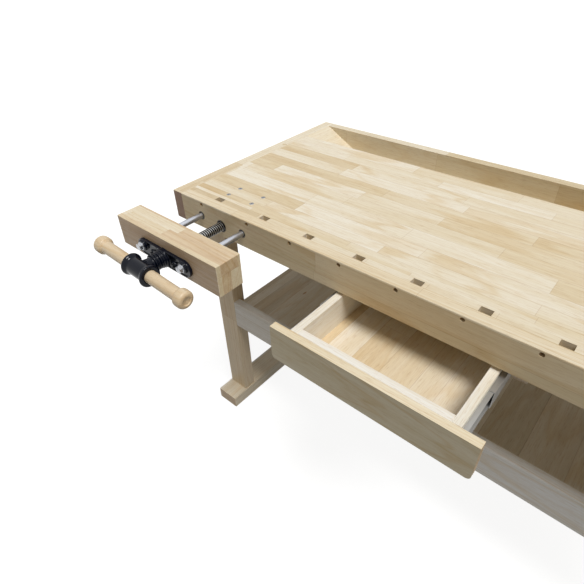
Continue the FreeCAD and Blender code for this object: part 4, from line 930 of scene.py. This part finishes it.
class BENCH_OT_mount_screws(bpy.types.Operator):
    """Drives the countersunk screws that hold the nut brackets under the worktop"""
    bl_idname = "bench.mount_screws"
    bl_label = "Bracket screws"

    def execute(self, context):
        steel, zinc = screw_steel(), zinc_plate()
        down, aside, nut_drop, twist = (0, 0, -1), 42.8, 35.0, 0.3
        outline = [(0.0, 0.0), (0.0, 5.7), (0.3, 6.0), (3.2, 3.0), (40.8, 3.0), (41.0, 2.6), (41.0, 0.0)]
        for vise, set_back in (("front", 62.0), ("end", 106.0)):
            screws, nuts = [], []
            for side in (-1, 1):
                for inward in (set_back + 11.0, set_back + 54.0):
                    spot = vise_point(vise, side * aside, inward, 0.0)
                    screw = turned("screw", outline, spot, down, 32)
                    for slot_turn in (twist, twist + QUARTER_TURN):
                        bpy.ops.object.select_all(action="DESELECT")
                        bpy.ops.mesh.primitive_cube_add(size=1, location=spot,
                                                        rotation=(0, 0, slot_turn + side),
                                                        scale=(6.4 * MM, 1.3 * MM, 3.6 * MM))
                        cut(screw, settle(bpy.context.object))
                    screws.append(screw)
                    nuts.append(chamfered_hexagon("nut", 5.8, 5.0, spot - Vector((0, 0, nut_drop)) * MM,
                                                  down))
            screws = smooth(gather(f"{vise}_countersunk_screws", screws), 30)
            dress(screws, steel, "black_steel", "bench", f"{vise}_mount_screws")
            nuts = smooth(gather(f"{vise}_bracket_nuts", nuts), 30)
            dress(nuts, zinc, "zinc_steel", "bench")
        return {"FINISHED"}


class BENCH_OT_stretcher_bolts(bpy.types.Operator):
    """Fits the socket head bolts that draw the stretchers to the legs"""
    bl_idname = "bench.stretcher_bolts"
    bl_label = "Stretcher bolts"

    def execute(self, context):
        steel = screw_steel()
        socket = context.scene.bench_sizes.socket / MM / 2 / math.cos(math.pi / 6)
        outline = [(-6.6, 0.0), (-6.6, 4.6), (-6.2, 5.4), (-5.4, 6.1), (-4.4, 6.5), (-1.6, 6.5),
                   (-1.6, 8.5), (-1.1, 9.0), (0.0, 9.0), (0.0, 4.0), (133.0, 4.0), (133.0, 0.0)]
        bolts = []
        for leg_face, inward in ((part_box("leg_front_left")[0][0], 1),
                                 (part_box("leg_front_right")[1][0], -1)):
            along = (inward, 0, 0)
            for low, high in (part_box("stretcher_front"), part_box("stretcher_rear")):
                for rise in (21.0, 77.0):
                    spot = Vector((leg_face, (low[1] + high[1]) / 2, low[2] + rise * MM))
                    bolt = turned("bolt", outline, spot, along, 32)
                    cut(bolt, prism("socket", 6, socket, 4.4, spot - Vector(along) * 7.6 * MM, along))
                    bolts.append(bolt)
        bolts = smooth(gather("socket_head_bolts", bolts), 30)
        dress(bolts, steel, "zinc_steel", "bench", "stretcher_bolts")
        return {"FINISHED"}


WHITE = (1.0, 1.0, 1.0, 1.0)
FLOOR_SIZE, FLOOR_GLOW = 60.0, 0.89                     # m; what the floor adds to look white
LAMP_SIDE, LAMP_ANGLE = (0.35, -0.12, 0.93), 24.0       # the key light's side, its width in degrees
CAMERA_AT = (0.18498, -0.86774, 1.410)
CAMERA_RIGHT = (0.75471, 0.65530, -0.03173)
CAMERA_DOWN = (0.38639, -0.48305, -0.78573)
CAMERA_AHEAD = (-0.53021, 0.58073, -0.61776)


def looked_at(tree):
    """1 where the camera, a gloss or a glass looks at the backdrop, and 0 where it gives light."""
    path = add(tree, "LightPath")
    seen = add(tree, "Math", {0: path["Is Camera Ray"], 1: path["Is Glossy Ray"]},
               operation="MAXIMUM")[0]
    return add(tree, "Math", {0: seen, 1: path["Is Transmission Ray"]}, operation="MAXIMUM")[0]


class BENCH_OT_stage(bpy.types.Operator):
    """Sets the floor, the light and the camera"""
    bl_idname = "bench.stage"
    bl_label = "Studio"

    def execute(self, context):
        stage, scene = context.scene.bench_stage, context.scene
        bpy.ops.object.select_all(action="DESELECT")
        bpy.ops.mesh.primitive_plane_add(size=FLOOR_SIZE, location=(0, 0, -0.0005))
        floor = settle(context.object)
        floor.name = "studio_floor"
        material, tree = blank("white_studio_floor")
        plain = add(tree, "BsdfDiffuse", {0: (*stage.floor, 1.0)})[0]
        glow = add(tree, "Emission", {0: WHITE, 1: FLOOR_GLOW})[0]
        lifted = add(tree, "AddShader", {0: plain, 1: glow})[0]
        shown = add(tree, "MixShader", {0: looked_at(tree), 1: plain, 2: lifted})[0]
        add(tree, "OutputMaterial", {0: shown})
        floor.data.materials.append(material)

        world = bpy.data.worlds.new("white_studio")
        scene.world = world
        world.use_nodes = True
        tree = world.node_tree
        tree.nodes.clear()
        level = add(tree, "MapRange", {0: looked_at(tree), 1: 0.0, 2: 1.0, 3: stage.daylight, 4: 1.0})[0]
        sky = add(tree, "Background", {0: WHITE, 1: level})[0]
        add(tree, "OutputWorld", {0: sky})

        lamp_side = Vector(LAMP_SIDE)
        bpy.ops.object.light_add(type="SUN", location=lamp_side * 3.0,
                                 rotation=lamp_side.to_track_quat("Z", "Y").to_euler())
        lamp = context.object
        lamp.name = "key_light"
        lamp.data.energy = stage.key_power
        lamp.data.angle = math.radians(LAMP_ANGLE)

        right, down, ahead = [Vector(row) for row in (CAMERA_RIGHT, CAMERA_DOWN, CAMERA_AHEAD)]
        turn = Matrix((right, -down, -ahead)).transposed()
        bpy.ops.object.camera_add(location=CAMERA_AT, rotation=turn.to_euler())
        camera = context.object
        camera.name = "camera"
        camera.data.sensor_width = 36.0
        camera.data.lens = stage.lens
        scene.camera = camera
        scene.view_settings.view_transform = "Standard"
        return {"FINISHED"}


class BENCH_PT_workbench(bpy.types.Panel):
    """Steps that build the workbench, and its sizes and colours"""
    bl_label = "Workbench"
    bl_idname = "BENCH_PT_workbench"
    bl_space_type = "VIEW_3D"
    bl_region_type = "UI"
    bl_category = "Workbench"

    def draw(self, context):
        scene = context.scene
        for step in STEPS:
            self.layout.operator(step.bl_idname)
        for group in (scene.bench_sizes, scene.bench_metals, scene.bench_woods, scene.bench_stage):
            for setting in group.bl_rna.properties:
                if setting.identifier not in {"rna_type", "name"}:
                    self.layout.prop(group, setting.identifier)


STEPS = (BENCH_OT_worktop, BENCH_OT_tray, BENCH_OT_trestles, BENCH_OT_drawer, BENCH_OT_slides, BENCH_OT_jaws,
         BENCH_OT_guide_rods, BENCH_OT_vise_screws, BENCH_OT_hubs, BENCH_OT_jaw_plates, BENCH_OT_plate_bolts,
         BENCH_OT_handles, BENCH_OT_mount_screws, BENCH_OT_stretcher_bolts, BENCH_OT_stage)
SETTINGS = {"bench_woods": BENCH_wood_colours, "bench_metals": BENCH_metal_colours,
            "bench_sizes": BENCH_sizes, "bench_stage": BENCH_stage}


def register():
    for part in (*SETTINGS.values(), *STEPS, BENCH_PT_workbench):
        bpy.utils.register_class(part)
    for name, group in SETTINGS.items():
        setattr(bpy.types.Scene, name, bpy.props.PointerProperty(type=group))


def unregister():
    for name in SETTINGS:
        delattr(bpy.types.Scene, name)
    for part in (BENCH_PT_workbench, *reversed(STEPS), *SETTINGS.values()):
        bpy.utils.unregister_class(part)


def main():
    register()
    for step in STEPS:
        family, action = step.bl_idname.split(".")
        getattr(getattr(bpy.ops, family), action)()


if __name__ == "__main__":
    main()
